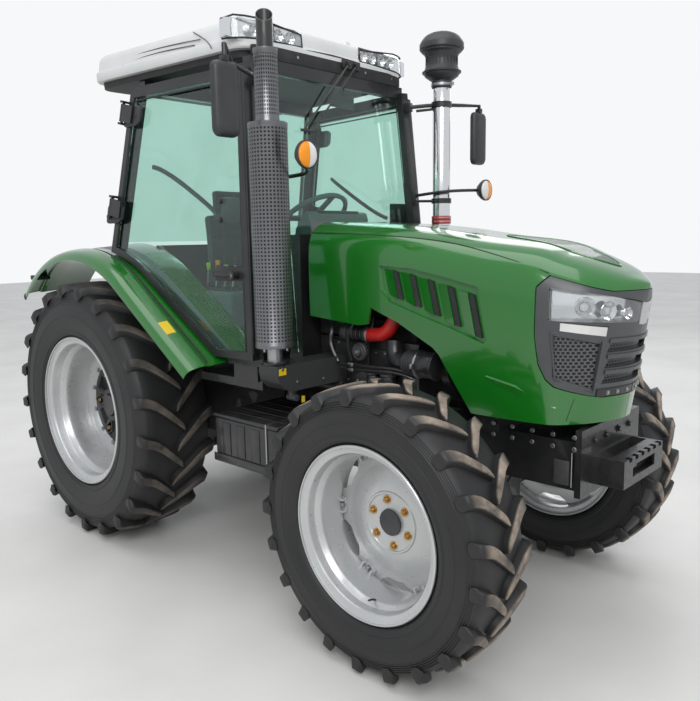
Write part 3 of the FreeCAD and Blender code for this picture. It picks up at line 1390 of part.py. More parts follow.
def make_all():
    make_wheels()
    node("knuckle_left", knuckle(1))
    node("knuckle_right", knuckle(-1))
    node("front_axle_beam", front_axle())
    node("tie_rod", tie_rod())
    node("front_frame", front_frame())
    node("ballast_bracket", ballast_bracket())
    node("engine_block", engine())
    node("transmission", transmission())
    node("radiator", radiator())
    node("battery_box", battery_box())
    node("fuel_tank", fuel_tank())
    node("cab_steps", cab_steps())
    node("cab_body", cab_body())
    node("cab_frame", cab_frame())
    node("cab_glass", cab_glass())
    node("cab_roof", cab_roof())
    node("roof_lamps", pair(roof_lamps()))
    node("fenders", fenders())
    node("seat", seat())
    node("dashboard", dashboard())
    node("steering_wheel", steering_wheel())
    for name, side in (("right", -1), ("left", 1)):
        frame, glass = door_frame(), door_glass()
        if side > 0:
            frame, glass = mirror(frame), mirror(glass)
        node(f"door_frame_{name}", frame)
        node(f"door_glass_{name}", glass)
    node("hood_shell", hood_shell())
    node("nose_bezel", nose_bezel())
    node("head_lamps", head_lamps())
    node("nose_grille", nose_grille())
    node("hood_hinge", hood_hinge())
    node("exhaust_stack", exhaust_stack())
    node("exhaust_shield", exhaust_shield())
    node("intake_stack", intake_stack())
    node("air_cleaner", air_cleaner())
    node("mirrors", mirror_set())
    node("marker_lamps", marker_lamps())
    node("wiper", wiper())
    node("lift_arms", lift_arms())
    node("lift_rods", lift_rods())
    node("lower_links", lower_links())
    node("top_link", top_link())
    node("hitch_frame", hitch_frame())
    node("drawbar", drawbar())
    node("pto_shaft", pto_shaft())


make_all()
doc.recompute()
for thing in doc.Objects:
    if "Invalid" in thing.State or "Error" in thing.State:
        raise RuntimeError(f"{thing.Name} ({thing.Label}) failed: {thing.State}")
for thing in NODES:
    if thing.Shape.isNull() or not thing.Shape.isValid() or not thing.Shape.Solids:
        raise RuntimeError(f"{thing.Label} has no valid solid")
os.makedirs("parts", exist_ok=True)
for thing in NODES:
    thing.Shape.exportStep(f"parts/{thing.Label}.step")
print(len(NODES), "sub-parts")
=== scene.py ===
import math

import bmesh
import bpy
from bpy.props import FloatProperty, FloatVectorProperty, IntProperty, PointerProperty
from mathutils import Matrix, Vector


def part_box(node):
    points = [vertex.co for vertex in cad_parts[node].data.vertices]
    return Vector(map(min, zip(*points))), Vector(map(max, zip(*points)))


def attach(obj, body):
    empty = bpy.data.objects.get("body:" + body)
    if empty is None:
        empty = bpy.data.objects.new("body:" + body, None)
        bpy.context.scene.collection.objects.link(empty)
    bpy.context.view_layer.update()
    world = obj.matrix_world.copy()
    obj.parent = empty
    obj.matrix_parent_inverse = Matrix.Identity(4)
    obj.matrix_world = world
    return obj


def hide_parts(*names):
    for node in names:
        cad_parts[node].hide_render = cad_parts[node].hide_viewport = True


bl_info = {
    "name": "Farm tractor",
    "version": (1, 0, 0),
    "blender": (4, 5, 0),
    "location": "View3D > Sidebar > Tractor",
    "description": "Dresses the packed farm tractor with its visible pieces and finishes",
    "category": "Object",
}

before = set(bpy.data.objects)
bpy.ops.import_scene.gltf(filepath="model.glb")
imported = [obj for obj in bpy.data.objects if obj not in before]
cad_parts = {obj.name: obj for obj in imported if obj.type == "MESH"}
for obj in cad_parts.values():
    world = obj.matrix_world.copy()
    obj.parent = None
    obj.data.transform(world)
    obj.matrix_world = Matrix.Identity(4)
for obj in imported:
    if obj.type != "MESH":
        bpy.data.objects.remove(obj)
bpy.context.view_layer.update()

AXIS_X = Vector((1, 0, 0))
AXIS_Y = Vector((0, 1, 0))
AXIS_Z = Vector((0, 0, 1))
MM = 0.001


def middle(node):
    low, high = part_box(node)
    return (low + high) / 2


REAR_AXLE = middle("rim_rear_right")
FRONT_AXLE = middle("rim_front_right")
# Where the exhaust and the intake stand, in mm ahead of the rear axle and to the left
STACK = (1480, -666)
INTAKE = (1450, 664)


def at(x, y, z):
    """A place given in millimetres from the rear axle, in the frame's metres."""
    return Vector((REAR_AXLE.x + x * MM, y * MM, z * MM))


def places(*points):
    return [at(*point) for point in points]


# Finishes
class Finish:
    """A material in the making: a few nodes that feed one Principled shader."""

    def __init__(self, name, colour, roughness, metallic=0.0, **sockets):
        self.material = bpy.data.materials.new(name)
        self.material.use_nodes = True
        self.tree = self.material.node_tree
        self.shader = self.tree.nodes["Principled BSDF"]
        self.place = self.node("ShaderNodeTexCoord").outputs["Object"]
        self.feed("Base Color", (*colour, 1.0))
        self.feed("Roughness", roughness)
        self.feed("Metallic", metallic)
        for socket, value in sockets.items():
            self.feed(socket.replace("_", " "), value)

    def node(self, kind, settings=None, **inputs):
        made = self.tree.nodes.new(kind)
        for name, value in (settings or {}).items():
            setattr(made, name, value)
        for name, value in inputs.items():
            key = int(name[1:]) if name[1:].isdigit() else name
            self.join(made.inputs[key], value)
        return made

    def join(self, socket, value):
        if isinstance(value, bpy.types.NodeSocket):
            self.tree.links.new(value, socket)
        else:
            socket.default_value = value

    def feed(self, socket, value):
        self.join(self.shader.inputs[socket], value)

    def noise(self, scale, detail=4.0, roughness=0.55, stretch=(1, 1, 1)):
        place = self.node("ShaderNodeMapping", Vector=self.place, Scale=stretch).outputs[0]
        return self.node("ShaderNodeTexNoise", Vector=place, Scale=scale, Detail=detail,
                         Roughness=roughness).outputs["Fac"]

    def spread(self, value, low, high, start=0.0, end=1.0):
        """A value between low and high, made to run from start to end."""
        return self.node("ShaderNodeMapRange", i0=value, i1=low, i2=high, i3=start, i4=end).outputs[0]

    def math(self, kind, first, second=0.0, third=0.0):
        return self.node("ShaderNodeMath", {"operation": kind}, i0=first, i1=second, i2=third).outputs[0]

    def times(self, first, second):
        return self.math("MULTIPLY", first, second)

    def plus(self, first, second):
        return self.math("ADD", first, second)

    def waves(self, place, count):
        """A sine along a coordinate."""
        return self.math("SINE", self.times(place, count))

    def blend(self, factor, first, second):
        made = self.node("ShaderNodeMix", {"data_type": "RGBA"}, i0=factor)
        for socket, colour in ((made.inputs[6], first), (made.inputs[7], second)):
            self.join(socket, colour if isinstance(colour, bpy.types.NodeSocket) else (*colour, 1.0))
        return made.outputs[2]

    def bump(self, height, strength=0.3, distance=0.001):
        made = self.node("ShaderNodeBump", Height=height, Strength=strength, Distance=distance)
        self.feed("Normal", made.outputs[0])

    def offset(self, place):
        """Object coordinates measured from a place."""
        centred = self.node("ShaderNodeVectorMath", {"operation": "SUBTRACT"}, i0=self.place, i1=tuple(place))
        return centred.outputs[0]

    def parts(self, vector):
        return self.node("ShaderNodeSeparateXYZ", Vector=vector).outputs

    def radius(self, place, first, second):
        """Distance from a line through place, from two of the three coordinates."""
        parts = self.parts(self.offset(place))
        return self.math("SQRT", self.plus(*[self.times(parts[i], parts[i]) for i in (first, second)]))


FINISHES = {}


def keep(name, made):
    FINISHES[name] = made.material
    return made


def worn(made, colour, dust, amount, scale):
    """Dust that settles in soft patches over a colour."""
    patches = made.spread(made.noise(scale, 6.0), 0.45, 0.75, 0.0, amount)
    made.feed("Base Color", made.blend(patches, colour, dust))


def plain(key, label, colour, roughness, metallic=0.0, dust=None, grain=None, **sockets):
    """A finish of one colour: dust is (colour, amount, scale), grain is (scale, detail, strength, depth)."""
    made = keep(key, Finish(label, colour, roughness, metallic, **sockets))
    if dust:
        worn(made, colour, *dust)
    if grain:
        made.bump(made.noise(*grain[:2]), *grain[2:])
    return made


def mottled(key, label, colour, roughness, metallic, patches, first, second, **sockets):
    """A finish that wanders between two colours: patches is the noise's (scale, detail)."""
    made = keep(key, Finish(label, colour, roughness, metallic, **sockets))
    made.feed("Base Color", made.blend(made.noise(*patches), first, second))
    return made


def make_paints(colours):
    deep = tuple(level * 0.86 for level in colours.green)
    dull = tuple(level * 0.8 for level in colours.rim)
    green = mottled("green_paint", "Green paint", colours.green, 0.2, 0.0, (1.7, 3.0), colours.green, deep,
                    Coat_Weight=1.0, Coat_Roughness=0.05)
    green.feed("Roughness", green.spread(green.noise(9.0, 5.0), 0.3, 0.8, 0.17, 0.3))
    green.bump(green.noise(900.0, 1.0), 0.04, 0.0004)

    black = plain("black_paint", "Black paint", (0.012, 0.012, 0.013), 0.35, 0.0,
                  ((0.06, 0.055, 0.05), 0.35, 5.0), (500.0, 2.0, 0.1, 0.0005), Coat_Weight=0.3)
    black.feed("Roughness", black.spread(black.noise(40.0, 5.0), 0.3, 0.8, 0.28, 0.5))
    plain("engine_black", "Engine black", (0.016, 0.016, 0.017), 0.38, 0.0, ((0.07, 0.064, 0.056), 0.35, 9.0),
          (260.0, 4.0, 0.25, 0.001), Coat_Weight=0.3)

    silver = mottled("silver_paint", "Silver paint", colours.rim, 0.33, 0.55, (6.0, 6.0), colours.rim, dull,
                     Coat_Weight=0.35)
    silver.feed("Roughness", silver.spread(silver.noise(30.0, 5.0), 0.3, 0.75, 0.26, 0.42))
    silver.bump(silver.noise(700.0, 2.0), 0.06, 0.0004)


def make_metals():
    plain("cast_grey", "Cast iron, dark paint", (0.045, 0.047, 0.05), 0.5, 0.2, ((0.12, 0.11, 0.1), 0.5, 7.0),
          (260.0, 4.0, 0.35, 0.0012))
    steel = plain("steel", "Bare steel", (0.42, 0.42, 0.43), 0.34, 1.0, grain=(400.0, 3.0, 0.1, 0.0004))
    steel.feed("Roughness", steel.spread(steel.noise(120.0, 4.0, stretch=(1, 8, 1)), 0.3, 0.7, 0.25, 0.5))
    chrome = plain("chrome_pipe", "Polished pipe", (0.82, 0.82, 0.82), 0.12, 1.0)
    chrome.feed("Roughness", chrome.spread(chrome.noise(25.0, 5.0, stretch=(1, 1, 0.2)), 0.3, 0.8, 0.07, 0.2))
    mottled("yellow_zinc", "Yellow zinc", (0.55, 0.36, 0.12), 0.3, 1.0, (90.0, 3.0), (0.62, 0.42, 0.14),
            (0.42, 0.24, 0.12))


def make_plastics():
    plain("dark_grey_plastic", "Dark grey plastic", (0.03, 0.031, 0.033), 0.42, 0.0,
          ((0.07, 0.068, 0.065), 0.3, 8.0), (1400.0, 2.0, 0.18, 0.0005))
    plain("bezel_grey", "Nose plastic", (0.055, 0.058, 0.062), 0.36, 0.0, ((0.09, 0.09, 0.09), 0.3, 8.0),
          (1200.0, 2.0, 0.15, 0.0005), Coat_Weight=0.25, Coat_Roughness=0.3)
    plain("roof_plastic", "Roof plastic", (0.66, 0.67, 0.665), 0.34, 0.0, ((0.5, 0.49, 0.46), 0.35, 3.0),
          (700.0, 2.0, 0.06, 0.0005), Coat_Weight=0.3, Coat_Roughness=0.2)
    plain("interior_plastic", "Interior plastic", (0.14, 0.145, 0.15), 0.55, 0.0, ((0.2, 0.2, 0.19), 0.4, 7.0),
          (1100.0, 3.0, 0.3, 0.0006))
    plain("dash_grey", "Dash plastic", (0.11, 0.125, 0.12), 0.5, 0.0, ((0.16, 0.165, 0.16), 0.35, 6.0),
          (1100.0, 3.0, 0.3, 0.0006))
    plain("control_yellow", "Yellow-green knobs", (0.5, 0.62, 0.05), 0.4, 0.0, ((0.35, 0.42, 0.08), 0.3, 20.0))
    plain("black_rubber", "Black rubber", (0.016, 0.016, 0.017), 0.6, 0.0, ((0.05, 0.048, 0.045), 0.4, 12.0),
          (600.0, 3.0, 0.15, 0.0005))
    red = mottled("red_rubber", "Red rubber", (0.5, 0.012, 0.008), 0.38, 0.0, (30.0, 4.0), (0.55, 0.015, 0.01),
                  (0.4, 0.01, 0.008))
    red.bump(red.noise(300.0, 2.0), 0.1, 0.0005)
    mottled("blank_label", "Blank yellow label", (0.8, 0.55, 0.02), 0.35, 0.0, (60.0, 3.0), (0.82, 0.58, 0.02),
            (0.74, 0.5, 0.02))
    mottled("blank_white", "Blank white label", (0.8, 0.8, 0.8), 0.4, 0.0, (60.0, 3.0), (0.82, 0.82, 0.82),
            (0.7, 0.7, 0.7))


def make_lenses():
    # The amber lens has a faint painted glow. The same finish is on the gauge needles and a lever knob.
    amber = keep("amber_lens", Finish("Amber lens with painted glow", (0.9, 0.3, 0.01), 0.12, Emission_Strength=0.12))
    amber.feed("Emission Color", (1.0, 0.4, 0.02, 1.0))
    milky = keep("white_lens", Finish("White lens", (0.85, 0.85, 0.84), 0.15, Coat_Weight=0.6))
    # The pale and dark bands, in step with the ribs' bump, are painted light and shade on the ribs.
    for lens, pale, dark in ((amber, (0.95, 0.34, 0.01), (0.7, 0.2, 0.005)),
                             (milky, (0.9, 0.9, 0.88), (0.72, 0.72, 0.7))):
        ribs = lens.waves(lens.parts(lens.place)[2], 1400.0)
        lens.feed("Base Color", lens.blend(lens.spread(ribs, -1, 1), pale, dark))
        lens.bump(ribs, 0.5, 0.001)
    plain("lamp_lens", "Clear lens", (0.9, 0.92, 0.93), 0.03, grain=(30.0, 1.0, 0.05, 0.001),
          Transmission_Weight=0.92, IOR=1.45)
    plain("reflector", "Lamp reflector", (0.85, 0.86, 0.87), 0.12, 1.0, grain=(140.0, 1.0, 0.25, 0.002))


def make_glass(colours):
    """Tinted glass that lets its light into the cab."""
    glass = plain("cab_glass", "Green tinted glass", colours.glass, 0.0, IOR=1.45, Transmission_Weight=1.0)
    smear = glass.spread(glass.noise(3.0, 5.0), 0.4, 0.8)
    dusty = tuple(level * 0.94 for level in colours.glass)
    glass.feed("Base Color", glass.blend(smear, tuple(colours.glass), dusty))
    clear = glass.node("ShaderNodeBsdfTransparent", Color=(*colours.glass, 1.0))
    rays = glass.node("ShaderNodeLightPath")
    passing = glass.math("MAXIMUM", rays.outputs["Is Shadow Ray"], rays.outputs["Is Diffuse Ray"])
    both = glass.node("ShaderNodeMixShader", i0=passing, i1=glass.shader.outputs[0], i2=clear.outputs[0])
    output = next(n for n in glass.tree.nodes if n.type == "OUTPUT_MATERIAL")
    glass.tree.links.new(both.outputs[0], output.inputs["Surface"])


def make_rubber():
    """Tyre rubber, with pale dust on the tops of the lugs."""
    for name, centre, radius in (("front", FRONT_AXLE, 0.582), ("rear", REAR_AXLE, 0.745)):
        rubber = keep(f"tyre_{name}", Finish(f"Tyre rubber, {name}", (0.014, 0.014, 0.015), 0.62))
        out = rubber.radius((centre.x, 0, centre.z), 0, 2)
        patches = rubber.spread(rubber.noise(9.0, 6.0, 0.65), 0.3, 0.62)
        top = rubber.times(rubber.spread(out, radius - 0.012, radius - 0.004), patches)
        amount = rubber.times(top, 0.85 if name == "front" else 0.3)
        haze = rubber.spread(rubber.noise(4.0, 5.0), 0.4, 0.8, 0.0, 0.25)
        base = rubber.blend(haze, (0.013, 0.013, 0.014), (0.045, 0.042, 0.038))
        rubber.feed("Base Color", rubber.blend(amount, base, (0.42, 0.34, 0.27)))
        rubber.feed("Roughness", rubber.spread(amount, 0, 1, 0.5, 0.9))
        rings = rubber.times(rubber.waves(out, 1800.0), 0.12)
        rubber.bump(rubber.plus(rings, rubber.noise(450.0, 3.0)), 0.2, 0.001)


def make_patterns():
    """Woven cloth, and dark sheets with rows of holes in painted shade, or with raised diamonds whose tops carry a
    painted highlight.
    """
    cloth = keep("seat_cloth", Finish("Seat cloth", (0.02, 0.021, 0.022), 0.85, Sheen_Weight=0.3))
    weave = cloth.node("ShaderNodeTexWave", {"wave_type": "BANDS"}, Vector=cloth.place, Scale=220.0,
                       Distortion=2.0).outputs["Fac"]
    cloth.feed("Base Color", cloth.blend(weave, (0.016, 0.017, 0.018), (0.035, 0.036, 0.038)))
    cloth.bump(weave, 0.4, 0.001)

    holes = keep("guard_holes", Finish("Perforated guard", (0.17, 0.175, 0.18), 0.3))
    parts = holes.parts(holes.offset(at(*STACK, 0)))
    turn = holes.math("ARCTAN2", parts[1], parts[0])
    bars = []
    for place, count in ((turn, 33 / math.tau), (parts[2], 1 / 0.0165)):
        share = holes.math("FRACT", holes.plus(holes.times(place, count), 40.0))
        bars.append(holes.spread(holes.math("ABSOLUTE", holes.math("SUBTRACT", share, 0.5)), 0.25, 0.29))
    # Heights between which each guard is perforated
    bands = [holes.times(holes.spread(parts[2], low, low + 0.001), holes.spread(parts[2], high, high - 0.001))
             for low, high in ((1.25, 2.194), (2.24, 2.50))]
    solid = holes.math("MAXIMUM", *bars)
    solid = holes.math("MAXIMUM", solid, holes.math("SUBTRACT", 1.0, holes.math("MAXIMUM", *bands)))
    # The holes are not cut: they are painted near black, as painted shade inside the guard.
    holes.feed("Base Color", holes.blend(solid, (0.004, 0.004, 0.004), (0.19, 0.195, 0.2)))
    holes.feed("Metallic", holes.times(solid, 0.8))
    holes.bump(solid, 0.7, 0.002)

    # Meshes: colour of the sheet, painted shade of its holes, pitch, and the two coordinates that the rows follow
    dark = (0.002, 0.002, 0.002)
    for key, label, solid, hole_shade, pitch, across, up in (
        ("nose_mesh", "Nose mesh", (0.1, 0.1, 0.105), dark, 0.0145, 1, 2),
        ("side_mesh", "Side mesh", (0.11, 0.11, 0.115), dark, 0.0155, 0, 2),
        ("vent_mesh", "Hood vent mesh", (0.008, 0.07, 0.02), (0.002, 0.012, 0.005), 0.009, 0, 1),
    ):
        mesh = keep(key, Finish(label, solid, 0.4, Coat_Weight=0.4 if key == "vent_mesh" else 0.0))
        parts = mesh.parts(mesh.place)
        pattern_of_holes(mesh, parts[across], parts[up], pitch, solid, hole_shade)

    tread = keep("diamond_plate", Finish("Diamond plate, black", (0.02, 0.02, 0.021), 0.42, Coat_Weight=0.3))
    x, y, z = tread.parts(tread.place)
    slant = tread.math("SUBTRACT", y, z)
    across = tread.waves(tread.plus(x, slant), 420.0)
    along = tread.waves(tread.math("SUBTRACT", x, slant), 420.0)
    ridge = tread.times(across, along)
    tread.bump(ridge, 0.8, 0.003)
    # The diamonds' raised tops are painted lighter, a painted highlight in step with the bump.
    tops = tread.spread(ridge, 0.2, 0.6)
    tread.feed("Base Color", tread.blend(tops, (0.012, 0.012, 0.013), (0.06, 0.06, 0.06)))


def pattern_of_holes(made, across, up, pitch, solid, hole_shade):
    """Round holes in staggered rows, coloured with a painted shade."""
    row = made.math("DIVIDE", up, pitch * 0.866)
    odd = made.math("ABSOLUTE", made.math("MODULO", made.math("FLOOR", row), 2.0))
    column = made.plus(made.math("DIVIDE", across, pitch), made.times(odd, 0.5))
    squares = []
    for place, stretch in ((column, 1.0), (row, 0.866)):
        part = made.times(made.math("SUBTRACT", made.math("FRACT", place), 0.5), stretch)
        squares.append(made.times(part, part))
    mask = made.spread(made.math("SQRT", made.plus(*squares)), 0.34, 0.39)
    made.feed("Base Color", made.blend(mask, hole_shade, solid))
    made.bump(mask, 0.8, 0.002)


# Shapes
def drawn(part, name="part"):
    """A mesh of a finished shape."""
    mesh = bpy.data.meshes.new(name)
    part.to_mesh(mesh)
    part.free()
    return mesh


def placed(mesh):
    """A new object in the scene that holds a mesh."""
    made = bpy.data.objects.new(mesh.name, mesh)
    bpy.context.scene.collection.objects.link(made)
    return made


def add(bm, part, slot=None):
    """Puts a finished shape into a piece, with its own finish."""
    if slot is not None:
        for face in part.faces:
            face.material_index = slot
    mesh = drawn(part)
    bm.from_mesh(mesh)
    bpy.data.meshes.remove(mesh)


def soften(bm, width, segments=2):
    """Rounds the sharp edges of a shape."""
    edges = [e for e in bm.edges if len(e.link_faces) == 2 and e.calc_face_angle(0) > 0.5]
    if width > 0 and edges:
        bmesh.ops.bevel(bm, geom=edges, offset=width, offset_type="OFFSET", segments=segments, profile=0.5,
                        affect="EDGES", material=-1, clamp_overlap=True)


def block(bm, low, high, slot=0, round_off=0.0, segments=2):
    """A block between two corners."""
    part = bmesh.new()
    low, high = Vector(low), Vector(high)
    size = Vector(abs(c) for c in high - low)
    matrix = Matrix.Translation((low + high) / 2) @ Matrix.Diagonal((*size, 1.0))
    bmesh.ops.create_cube(part, size=1.0, matrix=matrix)
    soften(part, round_off, segments)
    add(bm, part, slot)


def plate(bm, outline, push, slot=0, round_off=0.0, segments=2):
    """A plate with the given outline, pushed along a vector."""
    part = bmesh.new()
    face = part.faces.new([part.verts.new(corner) for corner in outline])
    pushed = bmesh.ops.extrude_face_region(part, geom=[face])["geom"]
    bmesh.ops.translate(part, vec=push, verts=[v for v in pushed if isinstance(v, bmesh.types.BMVert)])
    bmesh.ops.recalc_face_normals(part, faces=part.faces)
    soften(part, round_off, segments)
    add(bm, part, slot)


def turn_to(axis):
    return AXIS_Z.rotation_difference(Vector(axis)).to_matrix().to_4x4()


def drum(bm, start, end, radius, end_radius=None, sides=24, slot=0, round_off=0.0, segments=2):
    """A round bar or cone between two points."""
    part = bmesh.new()
    start, end = Vector(start), Vector(end)
    bmesh.ops.create_cone(part, cap_ends=True, segments=sides, radius1=radius,
                          radius2=radius if end_radius is None else end_radius, depth=(end - start).length,
                          matrix=Matrix.Translation((start + end) / 2) @ turn_to(end - start))
    soften(part, round_off, segments)
    add(bm, part, slot)


def lathe(bm, profile, centre, axis, steps=48, slot=0):
    """A section of (radius, distance along the axis) turned about an axis."""
    part = bmesh.new()
    matrix = Matrix.Translation(Vector(centre)) @ turn_to(axis)
    verts = [part.verts.new(matrix @ Vector((radius, 0, along))) for radius, along in profile]
    edges = [part.edges.new(pair) for pair in zip(verts, verts[1:] + verts[:1])]
    bmesh.ops.spin(part, geom=verts + edges, cent=centre, axis=axis, dvec=(0, 0, 0), angle=math.tau,
                   steps=steps, use_merge=True, use_duplicate=False)
    bmesh.ops.remove_doubles(part, verts=part.verts, dist=0.00002)
    bmesh.ops.recalc_face_normals(part, faces=part.faces)
    add(bm, part, slot)


def tube(bm, points, radius, slot=0, smooth=True, sides=2):
    """A bar or hose along a line of points."""
    curve = bpy.data.curves.new("line", "CURVE")
    curve.dimensions = "3D"
    spline = curve.splines.new("NURBS" if smooth else "POLY")
    spline.points.add(len(points) - 1)
    for place, spot in zip(spline.points, points):
        place.co = (*spot, 1.0)
    if smooth:
        spline.use_endpoint_u = True
        spline.order_u = 3
        spline.resolution_u = 6
    curve.bevel_depth = radius
    curve.bevel_resolution = sides
    curve.use_fill_caps = True
    holder = bpy.data.objects.new("line", curve)
    mesh = bpy.data.meshes.new_from_object(holder)
    part = bmesh.new()
    part.from_mesh(mesh)
    bpy.data.meshes.remove(mesh)
    bpy.data.objects.remove(holder)
    bpy.data.curves.remove(curve)
    add(bm, part, slot)


def bolt(bm, place, axis, radius, height, slot=0, washer=True):
    """A hexagon head on its washer."""
    place, axis = Vector(place), Vector(axis).normalized()
    if washer:
        drum(bm, place, place + axis * height * 0.25, radius * 1.5, sides=16, slot=slot)
        place = place + axis * height * 0.25
    drum(bm, place, place + axis * height, radius, radius * 0.94, 6, slot, radius * 0.08, segments=1)


def around(bm, make, count, centre, axis, start=0.0):
    """The same shape set evenly about an axis."""
    part = bmesh.new()
    make(part)
    mesh = drawn(part)
    for k in range(count):
        angle = start if k == 0 else math.tau / count
        turned = Matrix.Rotation(angle, 4, axis) @ Matrix.Translation(-centre)
        mesh.transform(Matrix.Translation(centre) @ turned)
        bm.from_mesh(mesh)
    bpy.data.meshes.remove(mesh)


def both_sides(bm, make):
    """A shape made for the right side, and its twin on the left."""
    part = bmesh.new()
    make(part)
    mesh = drawn(part)
    bm.from_mesh(mesh)
    mesh.transform(Matrix.Diagonal((1, -1, 1, 1)))
    mesh.flip_normals()
    bm.from_mesh(mesh)
    bpy.data.meshes.remove(mesh)


def shaded(made, angle):
    """Smooth shading between edges sharper than an angle."""
    made.data.shade_smooth()
    made.data.set_sharp_from_angle(angle=math.radians(angle))


def worked(made, width, angle=40, segments=2, harden=False):
    """Rounds a finished piece's sharp edges."""
    edge = made.modifiers.new("edge", "BEVEL")
    edge.width = width
    edge.segments = segments
    edge.limit_method = "ANGLE"
    edge.angle_limit = math.radians(angle)
    edge.harden_normals = harden


def bridged(bm, outlines):
    """Walls from each outline to the next, which has as many corners. Returns the rings of vertices."""
    rings = [[bm.verts.new(corner) for corner in outline] for outline in outlines]
    loops = [[bm.edges.new((ring[i - 1], ring[i])) for i in range(len(ring))] for ring in rings]
    for first, second in zip(loops, loops[1:]):
        bmesh.ops.bridge_loops(bm, edges=first + second)
    return rings


def stacked(bm, outlines):
    """A closed form through outlines."""
    part = bmesh.new()
    rings = bridged(part, outlines)
    for ring in (rings[0], rings[-1]):
        part.faces.new(ring)
    bmesh.ops.recalc_face_normals(part, faces=part.faces)
    add(bm, part, 0)


def sheet(bm, rows, wall, upwards=False):
    """A sheet through rows of places. Its wall is on the side that its faces turn away from."""
    part = bmesh.new()
    rows = [[part.verts.new(place) for place in row] for row in rows]
    for first, second in zip(rows, rows[1:]):
        for i in range(len(first) - 1):
            part.faces.new((first[i], second[i], second[i + 1], first[i + 1]))
    bmesh.ops.recalc_face_normals(part, faces=part.faces)
    top = max(part.faces, key=lambda face: face.calc_center_median().z)
    if upwards and top.normal.z < 0:
        bmesh.ops.reverse_faces(part, faces=part.faces)
    bmesh.ops.solidify(part, geom=part.faces[:], thickness=wall)
    add(bm, part, 0)


def quarter(cx, cy, wide, tall, start, steps):
    """A quarter turn's points about a centre, from a start in degrees."""
    turns = [math.radians(start + 90 * k / steps) for k in range(steps + 1)]
    return [(cx + wide * math.cos(turn), cy + tall * math.sin(turn)) for turn in turns]


def piece(name, bm, body, finishes, replaces=(), angle=35, weld=True):
    """A finished piece of the tractor that rides on a body."""
    if weld:
        bmesh.ops.remove_doubles(bm, verts=bm.verts, dist=0.00002)
    bmesh.ops.recalc_face_normals(bm, faces=bm.faces)
    made = placed(drawn(bm, name))
    for key in finishes:
        made.data.materials.append(FINISHES[key])
    shaded(made, angle)
    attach(made, body)
    if replaces:
        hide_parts(*replaces)
    return made


def carved(made, *cutters, operation="DIFFERENCE", angle=35):
    """Cuts the cutters' shapes out of a piece, and drops them."""
    for cutter in cutters:
        step = made.modifiers.new("cut", "BOOLEAN")
        step.object = cutter
        step.operation = operation
        step.solver = "EXACT"
    bpy.context.view_layer.update()
    graph = bpy.context.evaluated_depsgraph_get()
    mesh = bpy.data.meshes.new_from_object(made.evaluated_get(graph))
    made.modifiers.clear()
    old = made.data
    made.data = mesh
    bpy.data.meshes.remove(old)
    for cutter in cutters:
        old = cutter.data
        bpy.data.objects.remove(cutter)
        bpy.data.meshes.remove(old)
    shaded(made, angle)
    return made


def cutter(make):
    """A shape that only cuts."""
    bm = bmesh.new()
    make(bm)
    bmesh.ops.recalc_face_normals(bm, faces=bm.faces)
    return placed(drawn(bm, "cutter"))


# Carried-over nodes and their finishes
NODE_FINISHES = {
    "tyre_rear": "tyre_rear", "tyre_front": "tyre_front", "rim": "silver_paint", "wheel_centre": "cast_grey",
    "knuckle": "cast_grey", "front_axle_beam": "engine_black", "tie_rod": "steel",
    "engine_block": "engine_black",
    "transmission": "engine_black", "fuel_tank": "dark_grey_plastic", "battery_box": "dark_grey_plastic",
    "cab_glass": "cab_glass", "door_glass": "cab_glass", "cab_roof": "roof_plastic", "roof_lamps": "lamp_lens",
    "fenders": "green_paint", "seat": "seat_cloth", "dashboard": "interior_plastic",
    "steering_wheel": "interior_plastic", "hood_shell": "green_paint", "nose_bezel": "bezel_grey",
    "head_lamps": "lamp_lens", "nose_grille": "nose_mesh", "exhaust_stack": "guard_holes",
    "exhaust_shield": "diamond_plate", "intake_stack": "chrome_pipe", "air_cleaner": "dark_grey_plastic",
    "mirrors": "dark_grey_plastic", "pto_shaft": "steel", "lower_links": "black_paint", "top_link": "cast_grey",
}


def dress_nodes():
    """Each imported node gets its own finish, by the longest start of its name in the list."""
    for name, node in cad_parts.items():
        keys = [key for key in NODE_FINISHES if name.startswith(key)]
        node.data.materials.clear()
        node.data.materials.append(FINISHES[NODE_FINISHES[max(keys, key=len)] if keys else "black_paint"])


# Stage
def lamp_panel(name, place, target, size, power, colour=(1, 1, 1)):
    light = bpy.data.lights.new(name, "AREA")
    light.shape = "RECTANGLE"
    light.size, light.size_y = size
    light.energy = power
    light.color = colour
    holder = bpy.data.objects.new(name, light)
    holder.location = place
    holder.rotation_euler = (Vector(target) - Vector(place)).to_track_quat("-Z", "Y").to_euler()
    bpy.context.scene.collection.objects.link(holder)


def make_floor():
    bm = bmesh.new()
    bmesh.ops.create_grid(bm, x_segments=2, y_segments=2, size=30.0)
    floor = placed(drawn(bm, "Floor"))
    made = Finish("Pale floor", (0.74, 0.73, 0.7), 0.45)
    patches = made.spread(made.noise(0.9, 8.0), 0.3, 0.7)
    made.feed("Base Color", made.blend(patches, (0.78, 0.77, 0.74), (0.68, 0.67, 0.64)))
    made.feed("Roughness", made.spread(made.noise(2.2, 6.0), 0.3, 0.7, 0.35, 0.6))
    made.bump(made.noise(35.0, 6.0), 0.05, 0.002)
    floor.data.materials.append(made.material)


